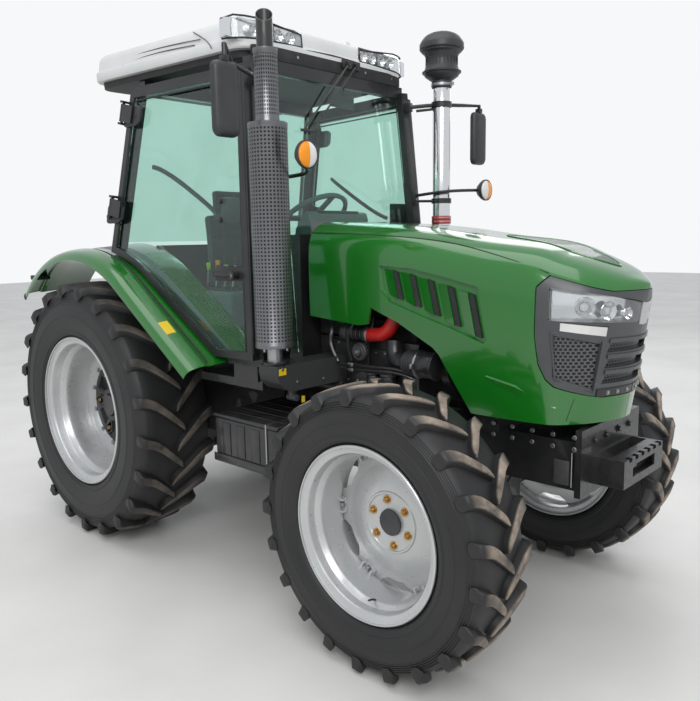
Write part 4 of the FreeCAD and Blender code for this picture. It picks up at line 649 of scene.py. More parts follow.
def make_world(level):
    world = bpy.data.worlds.new("Studio")
    world.use_nodes = True
    tree = world.node_tree
    soft = tree.nodes["Background"]
    soft.inputs["Color"].default_value = (0.93, 0.96, 1.0, 1.0)
    soft.inputs["Strength"].default_value = level
    wall = tree.nodes.new("ShaderNodeBackground")
    wall.inputs["Color"].default_value = (0.93, 0.94, 0.95, 1.0)
    wall.inputs["Strength"].default_value = 1.0
    rays = tree.nodes.new("ShaderNodeLightPath")
    seen = tree.nodes.new("ShaderNodeMath")
    seen.operation = "MAXIMUM"
    tree.links.new(rays.outputs["Is Camera Ray"], seen.inputs[0])
    tree.links.new(rays.outputs["Is Transmission Ray"], seen.inputs[1])
    both = tree.nodes.new("ShaderNodeMixShader")
    tree.links.new(seen.outputs[0], both.inputs[0])
    tree.links.new(soft.outputs[0], both.inputs[1])
    tree.links.new(wall.outputs[0], both.inputs[2])
    tree.links.new(both.outputs[0], tree.nodes["World Output"].inputs["Surface"])
    bpy.context.scene.world = world


def make_camera(lens, yaw, pitch, roll):
    """The camera stands where the photograph was taken, near the right front corner."""
    sight = Vector((math.cos(yaw) * math.cos(pitch), math.sin(yaw) * math.cos(pitch), -math.sin(pitch)))
    level = Vector((math.sin(yaw), -math.cos(yaw), 0))
    rise = level.cross(sight)
    right = level * math.cos(roll) + rise * math.sin(roll)
    up = rise * math.cos(roll) - level * math.sin(roll)
    data = bpy.data.cameras.new("Camera")
    data.lens = lens
    data.sensor_width = 36.0
    data.sensor_fit = "AUTO"
    holder = bpy.data.objects.new("Camera", data)
    axes = Matrix((right, up, -sight)).transposed().to_4x4()
    holder.matrix_world = Matrix.Translation(at(3982.4, -2830.6, 1712.3)) @ axes
    bpy.context.scene.collection.objects.link(holder)
    bpy.context.scene.camera = holder


class TractorStage(bpy.types.PropertyGroup):
    """The camera and the light."""
    lens: FloatProperty(name="Lens", description="Focal length for a 36 mm sensor", default=37.25)
    yaw: FloatProperty(name="Yaw", description="Heading of the camera", default=math.radians(133.165),
                       subtype="ANGLE")
    pitch: FloatProperty(name="Pitch", description="How far the camera looks down", default=math.radians(8.787),
                         subtype="ANGLE")
    roll: FloatProperty(name="Roll", description="How far the camera leans", default=math.radians(-0.9775),
                        subtype="ANGLE")
    ambient: FloatProperty(name="Room light", description="Level of the light all round", default=0.75, min=0.0)


class TractorColours(bpy.types.PropertyGroup):
    """The colours of the main finishes."""
    green: FloatVectorProperty(name="Green", description="Hood and fenders", default=(0.007, 0.15, 0.01),
                               size=3, subtype="COLOR", min=0.0, max=1.0)
    rim: FloatVectorProperty(name="Rims", description="Wheel rims", default=(0.62, 0.63, 0.63),
                             size=3, subtype="COLOR", min=0.0, max=1.0)
    glass: FloatVectorProperty(name="Glass", description="Tint of the cab windows", default=(0.62, 0.82, 0.75),
                               size=3, subtype="COLOR", min=0.0, max=1.0)


class TRACTOR_OT_finishes(bpy.types.Operator):
    """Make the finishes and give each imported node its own"""
    bl_idname = "tractor.finishes"
    bl_label = "Finishes"

    def execute(self, context):
        make_paints(context.scene.tractor_colours)
        make_metals()
        make_plastics()
        make_lenses()
        make_glass(context.scene.tractor_colours)
        make_rubber()
        make_patterns()
        dress_nodes()
        return {"FINISHED"}


class TRACTOR_OT_stage(bpy.types.Operator):
    """Make the floor, the light and the camera"""
    bl_idname = "tractor.stage"
    bl_label = "Stage"

    def execute(self, context):
        stage = context.scene.tractor_stage
        context.scene.view_settings.view_transform = "Standard"
        make_camera(stage.lens, stage.yaw, stage.pitch, stage.roll)
        make_floor()
        make_world(stage.ambient)
        lamp_panel("Key", (5.5, -6.0, 6.5), (0, 0, 1), (5, 4), 330)
        lamp_panel("Left fill", (-3.5, 7.0, 6.0), (0, 0, 1), (6, 4), 130)
        lamp_panel("Top", (0.5, -1.0, 8.0), (0, 0, 1), (7, 5), 170)
        return {"FINISHED"}


# Wheels
# One tread bar, from its nose to the foot of its ridge on the side wall. Columns: distance across and how far it
# trails, as shares of the half width, then in mm: drop of the crest and of the foot below the tread's radius, and
# half thickness of crest and foot
BAR_STATIONS = [
    (-0.09, -0.10, 1, 52, 15, 24),
    (-0.02, -0.02, 0, 52, 19, 29),
    (0.22, 0.20, 0, 54, 21, 31),
    (0.46, 0.42, 1, 54, 22, 32),
    (0.62, 0.55, 3, 56, 22, 32),
    (0.78, 0.63, 6, 62, 23, 32),
    (0.92, 0.68, 11, 70, 24, 33),
    (1.0, 0.70, 30, 92, 22, 32),
    (1.012, 0.705, 62, 104, 16, 25),
    (1.0, 0.71, 92, 112, 9, 15),
]


def tyre_section(radius, half, rim_r, bead, lug):
    """Half the carcass section from the bead to the middle of the tread: (radius, distance across)."""
    tread = radius - lug
    rise = tread - rim_r
    section = [
        (rim_r - 0.03, bead - 0.02), (rim_r - 0.026, bead), (rim_r + 0.004, bead + 0.006),
        (rim_r + 0.012, bead + 0.02), (rim_r + 0.022, half * 0.93), (rim_r + 0.03, half * 0.965),
        (rim_r + 0.036, half * 0.965), (rim_r + 0.04, half * 0.95), (rim_r + 0.3 * rise, half * 0.985),
        (rim_r + 0.45 * rise, half), (rim_r + 0.455 * rise, half * 1.008), (rim_r + 0.475 * rise, half * 1.008),
        (rim_r + 0.48 * rise, half), (rim_r + 0.66 * rise, half * 0.99),
    ]
    # Fine rings between the bars' feet
    for k in range(5):
        out = rim_r + (0.7 + 0.045 * k) * rise
        flank = half * (0.985 - 0.012 * k)
        section += [(out, flank), (out + 0.0015, flank + 0.0022), (out + 0.0045, flank + 0.0022),
                    (out + 0.006, flank)]
    section += [(tread - 0.012, half * 0.9), (tread - 0.002, half * 0.8), (tread + 0.003, half * 0.55),
                (tread + 0.005, half * 0.25), (tread + 0.006, 0.0)]
    return section


def make_bar(bm, centre, radius, half, lug, side, turn):
    """One tread bar: a strip pulled down to its foot, then wrapped round the tyre."""
    scale = lug / 0.052
    stations = len(BAR_STATIONS)
    bmesh.ops.create_grid(bm, x_segments=stations - 1, y_segments=1, size=1.0)
    crest = list(bm.verts)
    raised = bmesh.ops.extrude_face_region(bm, geom=bm.faces[:])["geom"]
    foot = [v for v in raised if isinstance(v, bmesh.types.BMVert)]
    for verts, drop_column, width_column in ((crest, 2, 4), (foot, 3, 5)):
        for vert in verts:
            row = BAR_STATIONS[round((vert.co.x + 1) / 2 * (stations - 1))]
            sign = 1 if vert.co.y > 0 else -1
            drop = row[drop_column] * MM * (scale if row[drop_column] > 20 else 1.0)
            reach = radius - drop
            trail = row[1] * half + sign * row[width_column] * MM * (1.0 if half < 0.2 else 1.12)
            across = row[0] * half
            if width_column == 4 and row[0] > 0.9:
                across += 0.004
            across += sign * row[width_column] * MM * 0.35 * max(0.0, 0.62 - row[0])
            angle = turn + trail / radius
            vert.co = centre + Vector((math.cos(angle) * reach, side * across, math.sin(angle) * reach))
    bmesh.ops.recalc_face_normals(bm, faces=bm.faces)
    soften(bm, 0.004, 1)


def make_tyre(name, place, y, axle, radius, half, rim_r, bead, lug, count, side_name):
    """A tyre with two rows of tread bars. The bars' noses lead at the front as the wheel rolls ahead."""
    centre = Vector((axle.x, y, axle.z))
    section = tyre_section(radius, half, rim_r, bead, lug)
    ring = section + [(r, -across) for r, across in reversed(section[:-1])]
    bm = bmesh.new()
    lathe(bm, ring, centre, AXIS_Y, 120)
    step = math.tau / count
    for side in (1, -1):
        bar = bmesh.new()
        make_bar(bar, centre, radius, half, lug, side, 0.5 * step if side > 0 else 0.0)
        bars = bar.verts[:] + bar.edges[:] + bar.faces[:]
        bmesh.ops.spin(bar, geom=bars, cent=centre, axis=AXIS_Y, dvec=(0, 0, 0), angle=step * (count - 1),
                       steps=count - 1, use_merge=False, use_duplicate=True)
        add(bm, bar)
    piece(name, bm, f"wheel_{place}_{side_name}", [f"tyre_{place}"], replaces=[f"tyre_{place}_{side_name}"],
          angle=40, weld=False)


def rim_section(rim_r, half, steps, wall=0.007):
    """A rim's closed section: steps is its outer surface from the flange in, (drop, distance from the edge)."""
    outside = [(rim_r - drop, half - back) for drop, back in steps]
    outside += [(r, -y) for r, y in reversed(outside)]
    inside = [(r - wall, y) for r, y in reversed(outside)]
    for k in (0, -1):
        inside[k] = (inside[k][0] + wall * 0.3, inside[k][1])
    return outside + inside


FRONT_STEPS = [(0.0035, 0.0), (0.0, 0.003), (0.0, 0.010), (0.004, 0.014), (0.014, 0.016), (0.028, 0.021),
               (0.033, 0.030), (0.034, 0.056), (0.037, 0.060), (0.05, 0.074), (0.055, 0.084), (0.056, 0.098)]
REAR_STEPS = [(0.004, 0.0), (0.0, 0.004), (0.0, 0.013), (0.004, 0.017), (0.016, 0.019), (0.031, 0.026),
              (0.036, 0.038), (0.037, 0.074), (0.041, 0.080), (0.058, 0.100), (0.062, 0.112), (0.063, 0.135)]


def make_front_rim(side, name):
    """The silver front rim and its dished disc, whose six lobes are bolted to brackets."""
    centre = Vector((FRONT_AXLE.x, middle(f"rim_front_{name}").y, FRONT_AXLE.z))
    way = AXIS_Y * side
    body = f"wheel_front_{name}"
    # How far the disc's face stands out from the rim's middle
    hub = -0.039
    bm = bmesh.new()
    dish = [(0.0535, hub - 0.010), (0.0535, hub - 0.001), (0.055, hub), (0.116, hub), (0.119, hub + 0.004),
            (0.126, hub + 0.004), (0.130, hub - 0.001), (0.150, hub - 0.002), (0.170, hub - 0.007),
            (0.225, hub - 0.027), (0.245, hub - 0.032), (0.300, hub - 0.033), (0.304, hub - 0.036),
            (0.304, hub - 0.043), (0.245, hub - 0.042), (0.222, hub - 0.037), (0.168, hub - 0.017),
            (0.150, hub - 0.012)]
    lathe(bm, dish, centre, way, 96)
    disc = piece(f"Disc_front_{name}", bm, body, ["silver_paint"])

    def gaps(bm):
        def gap(bm):
            outline = []
            for reach, turns in ((0.262, (-9, 0, 9)), (0.285, (15,)), (0.325, (18, 9, 0, -9, -18)), (0.285, (-15,))):
                for turn in turns:
                    turn = math.radians(turn)
                    outline.append(centre + Vector((math.cos(turn) * reach, -0.12, math.sin(turn) * reach)))
            plate(bm, outline, (0, 0.24, 0))
        around(bm, gap, 6, centre, AXIS_Y, math.radians(30))
    carved(disc, cutter(gaps))
    worked(disc, 0.0018, 45)
    bm = bmesh.new()
    lathe(bm, rim_section(0.354, 0.141, FRONT_STEPS), centre, way, 120)

    def bracket(bm):
        def spot(r, up, across):
            return centre + Vector((r, side * across, up))
        low = hub - 0.033
        block(bm, spot(0.270, -0.034, low), spot(0.312, 0.034, low + 0.009), 0, 0.003)
        for up in (-0.026, 0.026):
            block(bm, spot(0.268, up - 0.005, low + 0.003), spot(0.313, up + 0.005, low + 0.032), 0, 0.002)
        block(bm, spot(0.300, -0.030, low + 0.004), spot(0.313, 0.030, low + 0.030), 0, 0.003)
        bolt(bm, spot(0.285, 0, low + 0.009), way, 0.011, 0.010, slot=1)
    around(bm, bracket, 6, centre, AXIS_Y)

    def nut(bm):
        place = centre + Vector((0.095, side * hub, 0))
        bolt(bm, place, way, 0.0125, 0.012, slot=2)
        drum(bm, place, place + way * 0.021, 0.0065, sides=12, slot=2, round_off=0.001)
    around(bm, nut, 6, centre, AXIS_Y, math.radians(20))
    valve = centre + Vector((0.0, side * 0.05, -0.300))
    steps = ((0, 0, 0), (0, side * 0.02, 0.016), (0, side * 0.05, 0.02))
    tube(bm, [valve + Vector(step) for step in steps], 0.004, slot=3)
    piece(f"Rim_front_{name}", bm, body, ["silver_paint", "steel", "yellow_zinc", "black_rubber"],
          replaces=[f"rim_front_{name}"])


def make_rear_rim(side, name):
    """The wide silver rear rim with its disc ring, and the dark cast centre bolted to it."""
    centre = Vector((REAR_AXLE.x, middle(f"rim_rear_{name}").y, REAR_AXLE.z))
    way = AXIS_Y * side
    # How far the disc ring's face stands out from the rim's middle
    face = -0.032
    body = f"wheel_rear_{name}"

    def spot(r, up, across):
        return centre + Vector((r, side * across, up))

    bm = bmesh.new()
    lathe(bm, rim_section(0.433, 0.211, REAR_STEPS, 0.008), centre, way, 120)
    ring = [(0.2505, face - 0.009), (0.2505, face - 0.002), (0.253, face), (0.300, face), (0.312, face + 0.006),
            (0.345, face + 0.006), (0.368, face + 0.002), (0.368, face - 0.007), (0.345, face - 0.003),
            (0.313, face - 0.003), (0.302, face - 0.009)]
    lathe(bm, ring, centre, way, 96)
    for angle in (-1.3, 1.84):
        valve = centre + Vector((math.cos(angle) * 0.365, side * 0.06, math.sin(angle) * 0.365))
        drum(bm, valve, valve + Vector((0, side * 0.04, 0.01)), 0.006, 0.004, 12, slot=1)

    def ring_bolt(bm):
        bolt(bm, spot(0.263, 0, face), way, 0.011, 0.010, slot=1)
    around(bm, ring_bolt, 12, centre, AXIS_Y, math.radians(15))
    piece(f"Rim_rear_{name}", bm, body, ["silver_paint", "steel"], replaces=[f"rim_rear_{name}"])

    back = face - 0.009
    bm = bmesh.new()
    hub = [(0.0455, back - 0.018), (0.262, back - 0.018), (0.274, back - 0.012), (0.274, back - 0.002),
           (0.249, back - 0.0005), (0.248, back + 0.010), (0.240, back + 0.012), (0.232, back + 0.002),
           (0.130, back + 0.002), (0.108, back + 0.010), (0.100, back + 0.040), (0.094, back + 0.046),
           (0.070, back + 0.046), (0.066, back + 0.036), (0.0455, back + 0.036)]
    lathe(bm, hub, centre, way, 72)
    centre_piece = piece(f"Wheel_centre_{name}", bm, body, ["cast_grey"])

    def windows(bm):
        def window(bm):
            half = [(0.128, 0.024), (0.205, 0.052), (0.228, 0.046)]
            corners = [(r, -up) for r, up in half] + half[::-1]
            plate(bm, [centre + Vector((r, -0.2, up)) for r, up in corners], (0, 0.4, 0))
        around(bm, window, 6, centre, AXIS_Y, math.radians(30))
    carved(centre_piece, cutter(windows))
    worked(centre_piece, 0.004)
    bm = bmesh.new()

    def pocket(bm):
        # A raised rim round each nut
        corners = ((0.118, 0.0), (0.186, 0.036), (0.244, 0.0), (0.186, -0.036))
        inner = ((0.136, 0.0), (0.186, 0.026), (0.230, 0.0), (0.186, -0.026))
        levels = ((corners, 0.001), (corners, 0.016), (inner, 0.016), (inner, 0.003))
        bridged(bm, [[spot(r, up, back + height) for r, up in outline] for outline, height in levels])
        bolt(bm, spot(0.188, 0, back + 0.002), way, 0.0145, 0.013, slot=1)
        drum(bm, spot(0.188, 0, back), spot(0.188, 0, back + 0.024), 0.008, sides=12, slot=1, round_off=0.001)
    around(bm, pocket, 6, centre, AXIS_Y)
    drum(bm, spot(0, 0, back + 0.03), spot(0, 0, back + 0.05), 0.044, 0.040, 32, slot=2, round_off=0.002)

    def rib(bm):
        block(bm, spot(0.098, -0.009, back), spot(0.136, 0.009, back + 0.02), 0, 0.003)
    around(bm, rib, 6, centre, AXIS_Y, math.radians(30))
    piece(f"Wheel_bolts_{name}", bm, body, ["cast_grey", "yellow_zinc", "steel"],
          replaces=[f"wheel_centre_{name}"])


class TRACTOR_OT_wheels(bpy.types.Operator):
    """Make the four tyres with their tread bars, the rims and the wheel centres"""
    bl_idname = "tractor.wheels"
    bl_label = "Wheels"

    def execute(self, context):
        wheels = context.scene.tractor_wheels
        for side, name in ((1, "left"), (-1, "right")):
            for place, axle, half, rim_r, bead, lug in (
                ("front", FRONT_AXLE, 0.154, 0.354, 0.118, 0.036),
                ("rear", REAR_AXLE, 0.225, 0.433, 0.19, 0.042),
            ):
                low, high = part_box(f"tyre_{place}_{name}")
                y = middle(f"rim_{place}_{name}").y
                make_tyre(f"Tyre_{place}_{name}", place, y, axle, (high.z - low.z) / 2, half, rim_r, bead, lug,
                          wheels.bars, name)
            make_front_rim(side, name)
            make_rear_rim(side, name)
        return {"FINISHED"}


class TractorWheels(bpy.types.PropertyGroup):
    """The wheels."""
    bars: IntProperty(name="Tread bars", description="Bars on each side of a tyre", default=21, min=8, max=40)


# Hood and nose
# Plan of the hood: x, half width, waist height, top height, squareness of the shoulder
HOOD_LINES = [
    (1400, 362, 1500, 1800, 5.0),
    (1900, 366, 1480, 1766, 4.6),
    (2300, 364, 1450, 1712, 4.2),
    (2540, 352, 1430, 1680, 3.8),
    (2660, 335, 1410, 1640, 3.4),
    (2760, 298, 1395, 1603, 3.1),
    (2822, 250, 1385, 1575, 3.0),
    (2862, 190, 1375, 1553, 3.0),
    (2892, 120, 1370, 1538, 3.0),
    (2910, 55, 1365, 1527, 3.0),
    (2916, 0.01, 1360, 1521, 3.0),
]
HOOD_FOOT = 985
HOOD_LEAN = 0.14
# The side mesh and the bright strip in the nose: shares of the hood's length, and heights at the two ends
MESH_ENDS = (0.43, 0.665)
MESH_LOW = (1175, 1120)
MESH_HIGH = (1335, 1300)
STRIP_ENDS = (0.45, 0.7)
# Side view outlines: the dark nose, and what is open below the hood's panels
NOSE_OUTLINE = [(2660, 1560), (2619, 1517), (2617, 1330), (2632, 1225), (2660, 1166), (2690, 1138), (2812, 1090),
                (3000, 1090), (3000, 1499), (2850, 1499)]
HOOD_OPEN = [(1300, 1346), (1722, 1313), (1782, 1322), (1801, 1399), (1962, 1341), (2150, 1246), (2182, 1216),
             (2333, 991), (2345, 900), (1300, 900)]


def hood_line(t):
    """The hood's sizes at a share t of its length, from smooth lines through the table."""
    place = max(0.0, min(t, 1.0)) * (len(HOOD_LINES) - 1)
    k = min(int(place), len(HOOD_LINES) - 2)
    u = place - k
    rows = [HOOD_LINES[max(0, min(i, len(HOOD_LINES) - 1))] for i in (k - 1, k, k + 1, k + 2)]
    sizes = []
    for a, b, c, d in zip(*rows):
        bend = (2 * a - 5 * b + 4 * c - d) * u**2 + (3 * b - a - 3 * c + d) * u**3
        sizes.append(0.5 * (2 * b + (c - a) * u + bend))
    return sizes


def hood_share(x):
    """The share of the hood's length at which it reaches x."""
    low, high = 0.0, 1.0
    for _ in range(30):
        mid = (low + high) / 2
        low, high = (mid, high) if hood_line(mid)[0] < x else (low, mid)
    return (low + high) / 2


def hood_skin(t, z, side=-1, inset=0.0):
    """A point of the hood's side or nose at a height."""
    x, wide, waist, top, square = hood_line(t)
    if z < waist:
        wide *= 1 - 0.045 * ((waist - z) / (waist - HOOD_FOOT)) ** 2
    else:
        wide *= max(0.0, 1 - min(1.0, (z - waist) / (top - waist)) ** square) ** (1 / square)
    grip = max(0.0, min(1.0, (x - 2640) / 200))
    x -= HOOD_LEAN * grip * grip * (3 - 2 * grip) * max(0.0, 1500 - z)
    ahead, behind = hood_line(t + 0.004), hood_line(t - 0.004)
    run = Vector((ahead[0] - behind[0], ahead[1] - behind[1], 0)).normalized()
    place = Vector((x + run.y * inset, max(wide - run.x * inset, 0.0), z))
    return at(place.x, side * place.y, z)


def hood_top(t, across, lift=0.0):
    """A point of the hood's top at a share of its half width."""
    x, wide, waist, top, square = hood_line(t)
    z = waist + (top - waist) * max(0.0, 1 - min(1.0, abs(across)) ** square) ** (1 / square)
    return at(x, across * wide, z + lift)


def thicken(bm, faces, inside, wall):
    """Gives a sheet a wall on its inner side: inside is a point there."""
    bmesh.ops.recalc_face_normals(bm, faces=faces)
    face = faces[len(faces) // 2]
    if face.normal.dot(face.calc_center_median() - Vector(inside)) < 0:
        bmesh.ops.reverse_faces(bm, faces=faces)
    bmesh.ops.solidify(bm, geom=faces, thickness=wall * MM)


def skin_patch(bm, ends, low, high, inset, depth, slot=0, side=-1, steps=(12, 6)):
    """A piece of the hood's own surface between two shares and two heights, with a wall inwards."""
    part = bmesh.new()
    bmesh.ops.create_grid(part, x_segments=steps[0], y_segments=steps[1], size=1.0)
    for vert in part.verts:
        u, v = (vert.co.x + 1) / 2, (vert.co.y + 1) / 2
        t = ends[0] + (ends[1] - ends[0]) * u
        bottom = low[0] + (low[1] - low[0]) * u
        top = high[0] + (high[1] - high[0]) * u
        vert.co = hood_skin(t, bottom + (top - bottom) * v, side, inset)
    thicken(part, part.faces[:], at(2300, 0, 1300), depth)
    add(bm, part, slot)


def hood_sheet(bm, inset, wall, steps=(120, 110)):
    """The whole hood as one sheet, open below and behind, with a wall inwards."""
    grid = bmesh.ops.create_grid(bm, x_segments=steps[0], y_segments=steps[1], size=1.0)["verts"]
    for vert in grid:
        t = (vert.co.x + 1) / 2
        share = 1 - abs(vert.co.y)
        side = -1 if vert.co.y < 0 else 1
        x, wide, waist, top, square = hood_line(t)
        if share < 0.36:
            z = HOOD_FOOT + (waist - HOOD_FOOT) * share / 0.36
        else:
            turn = (share - 0.36) / 0.64 * math.pi / 2
            z = waist + (top - waist) * math.sin(turn) ** (2 / square)
        vert.co = hood_skin(t, z, side, inset)
        vert.co.z -= inset * MM * max(0.0, (share - 0.36) / 0.64)
        if share > 0.999:
            vert.co.y = 0
    bmesh.ops.remove_doubles(bm, verts=bm.verts, dist=0.0004)
    thicken(bm, bm.faces[:], at(2000, 0, 1300), wall)


def side_prism(outline, low=-600, high=600):
    """A cutter with an outline in the side view."""
    def make(bm):
        plate(bm, [at(x, low, z) for x, z in outline], (0, (high - low) * MM, 0))
    return cutter(make)


def on_skin(points, inset, side):
    """Points of the side view, laid on the hood's surface."""
    return [hood_skin(hood_share(x), z, side, inset) for x, z in points]


LOUVRES = [((1932, 1570), (1962, 1450)), ((2027, 1556), (2059, 1422)), ((2123, 1535), (2160, 1389)),
           ((2226, 1511), (2264, 1352)), ((2327, 1486), (2365, 1313))]
RECESS = [(1850, 1590), (1862, 1480), (1904, 1433), (2086, 1377), (2242, 1335), (2400, 1283), (2413, 1300),
          (2372, 1512), (2200, 1550), (2032, 1580)]


def make_hood():
    bm = bmesh.new()
    hood_sheet(bm, 0, 12)
    hood = piece("Hood", bm, "hood", ["green_paint", "black_rubber"], replaces=["hood_shell"],
                 angle=28)
    nose = [(x + (3 if x > 2700 else -3), z + (3 if z > 1300 else -3)) for x, z in NOSE_OUTLINE]
    recesses = [side_prism(RECESS, low, high) for low, high in ((-420, -330), (330, 420))]
    carved(hood, side_prism(HOOD_OPEN), side_prism(nose), *recesses, angle=28)
    worked(hood, 0.0025, 50, harden=True)
    # Louvre panels: a tray let into each side, with five leaning slots between raised fins; the slots are filled
    # with dark plates of painted shade
    bm = bmesh.new()
    for side in (-1, 1):
        floor = on_skin(RECESS, 16.0, side)
        hub = sum(floor, Vector()) / len(floor)
        rings = bridged(bm, [on_skin(RECESS, 1.0, side), [hub + (corner - hub) * 0.965 for corner in floor]])
        bm.faces.new(rings[1])
        for (x, z), (low_x, low_z) in LOUVRES:
            # Each slot is a dark plate: painted shade in place of an opening.
            slit = [(x - 2, z - 2), (x + 25, z - 8), (low_x + 25, low_z - 8), (low_x - 2, low_z - 2)]
            plate(bm, on_skin(slit, 7, side), (0, -side * 0.008, 0), slot=1)
            ridge = [(x - 4, z + 1), (low_x - 4, low_z - 3)]
            far_top, far_foot = on_skin([(x - 60, z + 8), (low_x - 60, low_z + 14)], 15, side)
            rise = [far_top, *on_skin(ridge, 1.5, side), far_foot]
            verts = [bm.verts.new(c) for c in rise + on_skin(ridge, 15, side)]
            for loop in ((0, 1, 2, 3), (1, 4, 5, 2), (0, 4, 1), (3, 2, 5)):
                bm.faces.new([verts[i] for i in loop])
    piece("Hood_louvres", bm, "hood", ["green_paint", "black_rubber"], angle=30)
    # Seams: thin dark lines along each shoulder, and the joints of the lower panel
    bm = bmesh.new()
    shoulder = [(1404, 1742), (1675, 1733), (1914, 1718), (2080, 1704), (2234, 1684), (2425, 1640), (2558, 1603),
                (2652, 1570)]
    for side in (-1, 1):
        tube(bm, on_skin(shoulder, -0.4, side), 0.003, sides=1)
        tube(bm, on_skin([(2800, 1090), (2776, 1000)], 1.0, side), 0.002, smooth=False, sides=1)
    piece("Hood_seams", bm, "hood", ["black_rubber"])
    make_vent()
    make_creases()


def vent_half(u):
    """Half the vent's width, as a share of the hood's, at a share of the vent's length."""
    return 0.33 * math.sin(math.pi * u ** 0.72) ** 0.7 if 0.0001 < u < 0.9999 else 0.0


def make_vent():
    """The leaf-shaped mesh let into the top of the hood, with a rim."""
    bm = bmesh.new()
    start, end = hood_share(2290), hood_share(2800)
    for vert in bmesh.ops.create_grid(bm, x_segments=40, y_segments=16, size=1.0)["verts"]:
        u = (vert.co.x + 1) / 2
        vert.co = hood_top(start + (end - start) * u, vert.co.y * vent_half(u), 2.2)
    bmesh.ops.remove_doubles(bm, verts=bm.verts, dist=0.0005)
    thicken(bm, bm.faces[:], at(2300, 0, 1000), 5)
    rim = []
    for k in range(49):
        turn = math.tau * k / 48
        u = 0.5 - 0.5 * math.cos(turn)
        rim.append(hood_top(start + (end - start) * u, math.copysign(vent_half(u), math.sin(turn)), 1.5))
    tube(bm, rim, 0.0035, slot=1, sides=1)
    piece("Hood_vent", bm, "hood", ["vent_mesh", "green_paint"], angle=50)


def make_creases():
    """Raised folds in the side panels."""
    bm = bmesh.new()
    for side in (-1, 1):
        crest, back, foot = [[bm.verts.new(place) for place in on_skin(line, inset, side)] for line, inset in (
            ([(2410, 1151), (2542, 1122), (2714, 1052)], -5), ([(2412, 1158), (2545, 1132), (2716, 1060)], 2),
            ([(2410, 1148), (2572, 1060), (2714, 1046)], 2))]
        for i in range(2):
            bm.faces.new((crest[i], crest[i + 1], back[i + 1], back[i]))
            bm.faces.new((crest[i], foot[i], foot[i + 1], crest[i + 1]))
    piece("Hood_folds", bm, "hood", ["green_paint"], angle=20)


def make_nose():
    bm = bmesh.new()
    hood_sheet(bm, 2.5, 26, (150, 90))
    nose = piece("Nose_bezel", bm, "hood", ["bezel_grey"], replaces=["nose_bezel", "nose_grille", "head_lamps"])
    carved(nose, side_prism(NOSE_OUTLINE), operation="INTERSECT")
    # Rooms for the lamps, the side meshes and the strips, and the slots of the grille
    lamp = (hood_share(2668), 0.928)
    rooms = ((lamp, (1392, 1372), (1518, 1452), 80, (12, 6)), (MESH_ENDS, MESH_LOW, MESH_HIGH, 34, (12, 6)),
             (STRIP_ENDS, (1352, 1326), (1386, 1366), 30, (8, 2)))
    holes = [cutter(lambda bm: skin_patch(bm, ends, low, high, -20, depth, side=side, steps=steps))
             for side in (-1, 1) for ends, low, high, depth, steps in rooms]
    for low in (1142, 1204, 1266):
        slot = [at(2600, y, z) for y, z in ((-178, low), (178, low), (164, low + 38), (-164, low + 38))]
        holes.append(cutter(lambda bm: plate(bm, slot, (0.4, 0, 0))))
    carved(nose, *holes)
    worked(nose, 0.003)
    # Dark mesh behind the slots, and bars that stand proud between them
    bm = bmesh.new()
    for side in (-1, 1):
        skin_patch(bm, (0.74, 1.0), (1120, 1120), (1320, 1320), 24, 3, side=side, steps=(16, 6))
        skin_patch(bm, MESH_ENDS, MESH_LOW, MESH_HIGH, 11, 2.5, slot=1, side=side)
        skin_patch(bm, (0.69, 0.99), (1092, 1092), (1122, 1122), -3, 14, slot=2, side=side, steps=(16, 2))
        for t in (0.76, 0.83, 0.92):
            place = hood_skin(t, 1106, side, -3)
            bolt(bm, place, place - hood_skin(t, 1106, side, 10), 0.006, 0.004, slot=3)
        for low in (1180, 1242, 1304):
            skin_patch(bm, (0.72, 1.0), (low, low), (low + 16, low + 14), -4, 12, 4, side, (16, 2))
    piece("Nose_mesh", bm, "hood", ["nose_mesh", "side_mesh", "black_paint", "steel", "bezel_grey"])
    bm = bmesh.new()
    for side in (-1, 1):
        skin_patch(bm, STRIP_ENDS, (1354, 1328), (1384, 1364), 5, 10, side=side, steps=(8, 2))
    piece("Nose_strips", bm, "hood", ["chrome_pipe"])
    # Frames round the side mesh
    bm = bmesh.new()
    (t0, t1), low, high = MESH_ENDS, MESH_LOW, MESH_HIGH
    corners = [(t0 - 0.012, high[0] + 12), (t1 + 0.012, high[1] + 12), (t1 + 0.004, low[1] - 8),
               (t0 + 0.01, low[0] - 8)]
    for side in (-1, 1):
        frame_line = [hood_skin(t, z, side, -1) for t, z in corners + corners[:1]]
        tube(bm, frame_line, 0.005, smooth=False, sides=1)
    piece("Nose_frames", bm, "hood", ["bezel_grey"])
    # Head lamps: a lens over a bright bowl with three round lamps, and a blank plate between them
    bm = bmesh.new()
    for side in (-1, 1):
        lens = (lamp[0] + 0.002, lamp[1] - 0.002)
        skin_patch(bm, lens, (1394, 1374), (1516, 1450), 2, 4, side=side, steps=(16, 6))
        skin_patch(bm, lamp, (1392, 1372), (1518, 1452), 46, 3, slot=1, side=side, steps=(16, 6))
        for t, z, size in ((0.555, 1442, 0.038), (0.70, 1425, 0.036), (0.84, 1412, 0.026)):
            back = hood_skin(t, z, side, 44)
            way = (hood_skin(t, z, side, 16) - back).normalized()
            bowl = [(size * 0.55, 0), (size, 0.024), (size * 0.94, 0.026), (size * 0.45, 0.004)]
            lathe(bm, bowl, back, way, 24, slot=1)
            drum(bm, back + way * 0.006, back + way * 0.02, size * 0.5, size * 0.3, 20, slot=2, round_off=0.003)
    piece("Head_lamps", bm, "hood", ["lamp_lens", "reflector", "white_lens"])
    bm = bmesh.new()
    for side in (-1, 1):
        skin_patch(bm, (0.932, 1.0), (1366, 1362), (1452, 1448), -2, 12, side=side, steps=(8, 4))
    piece("Nose_plate", bm, "hood", ["silver_paint"])


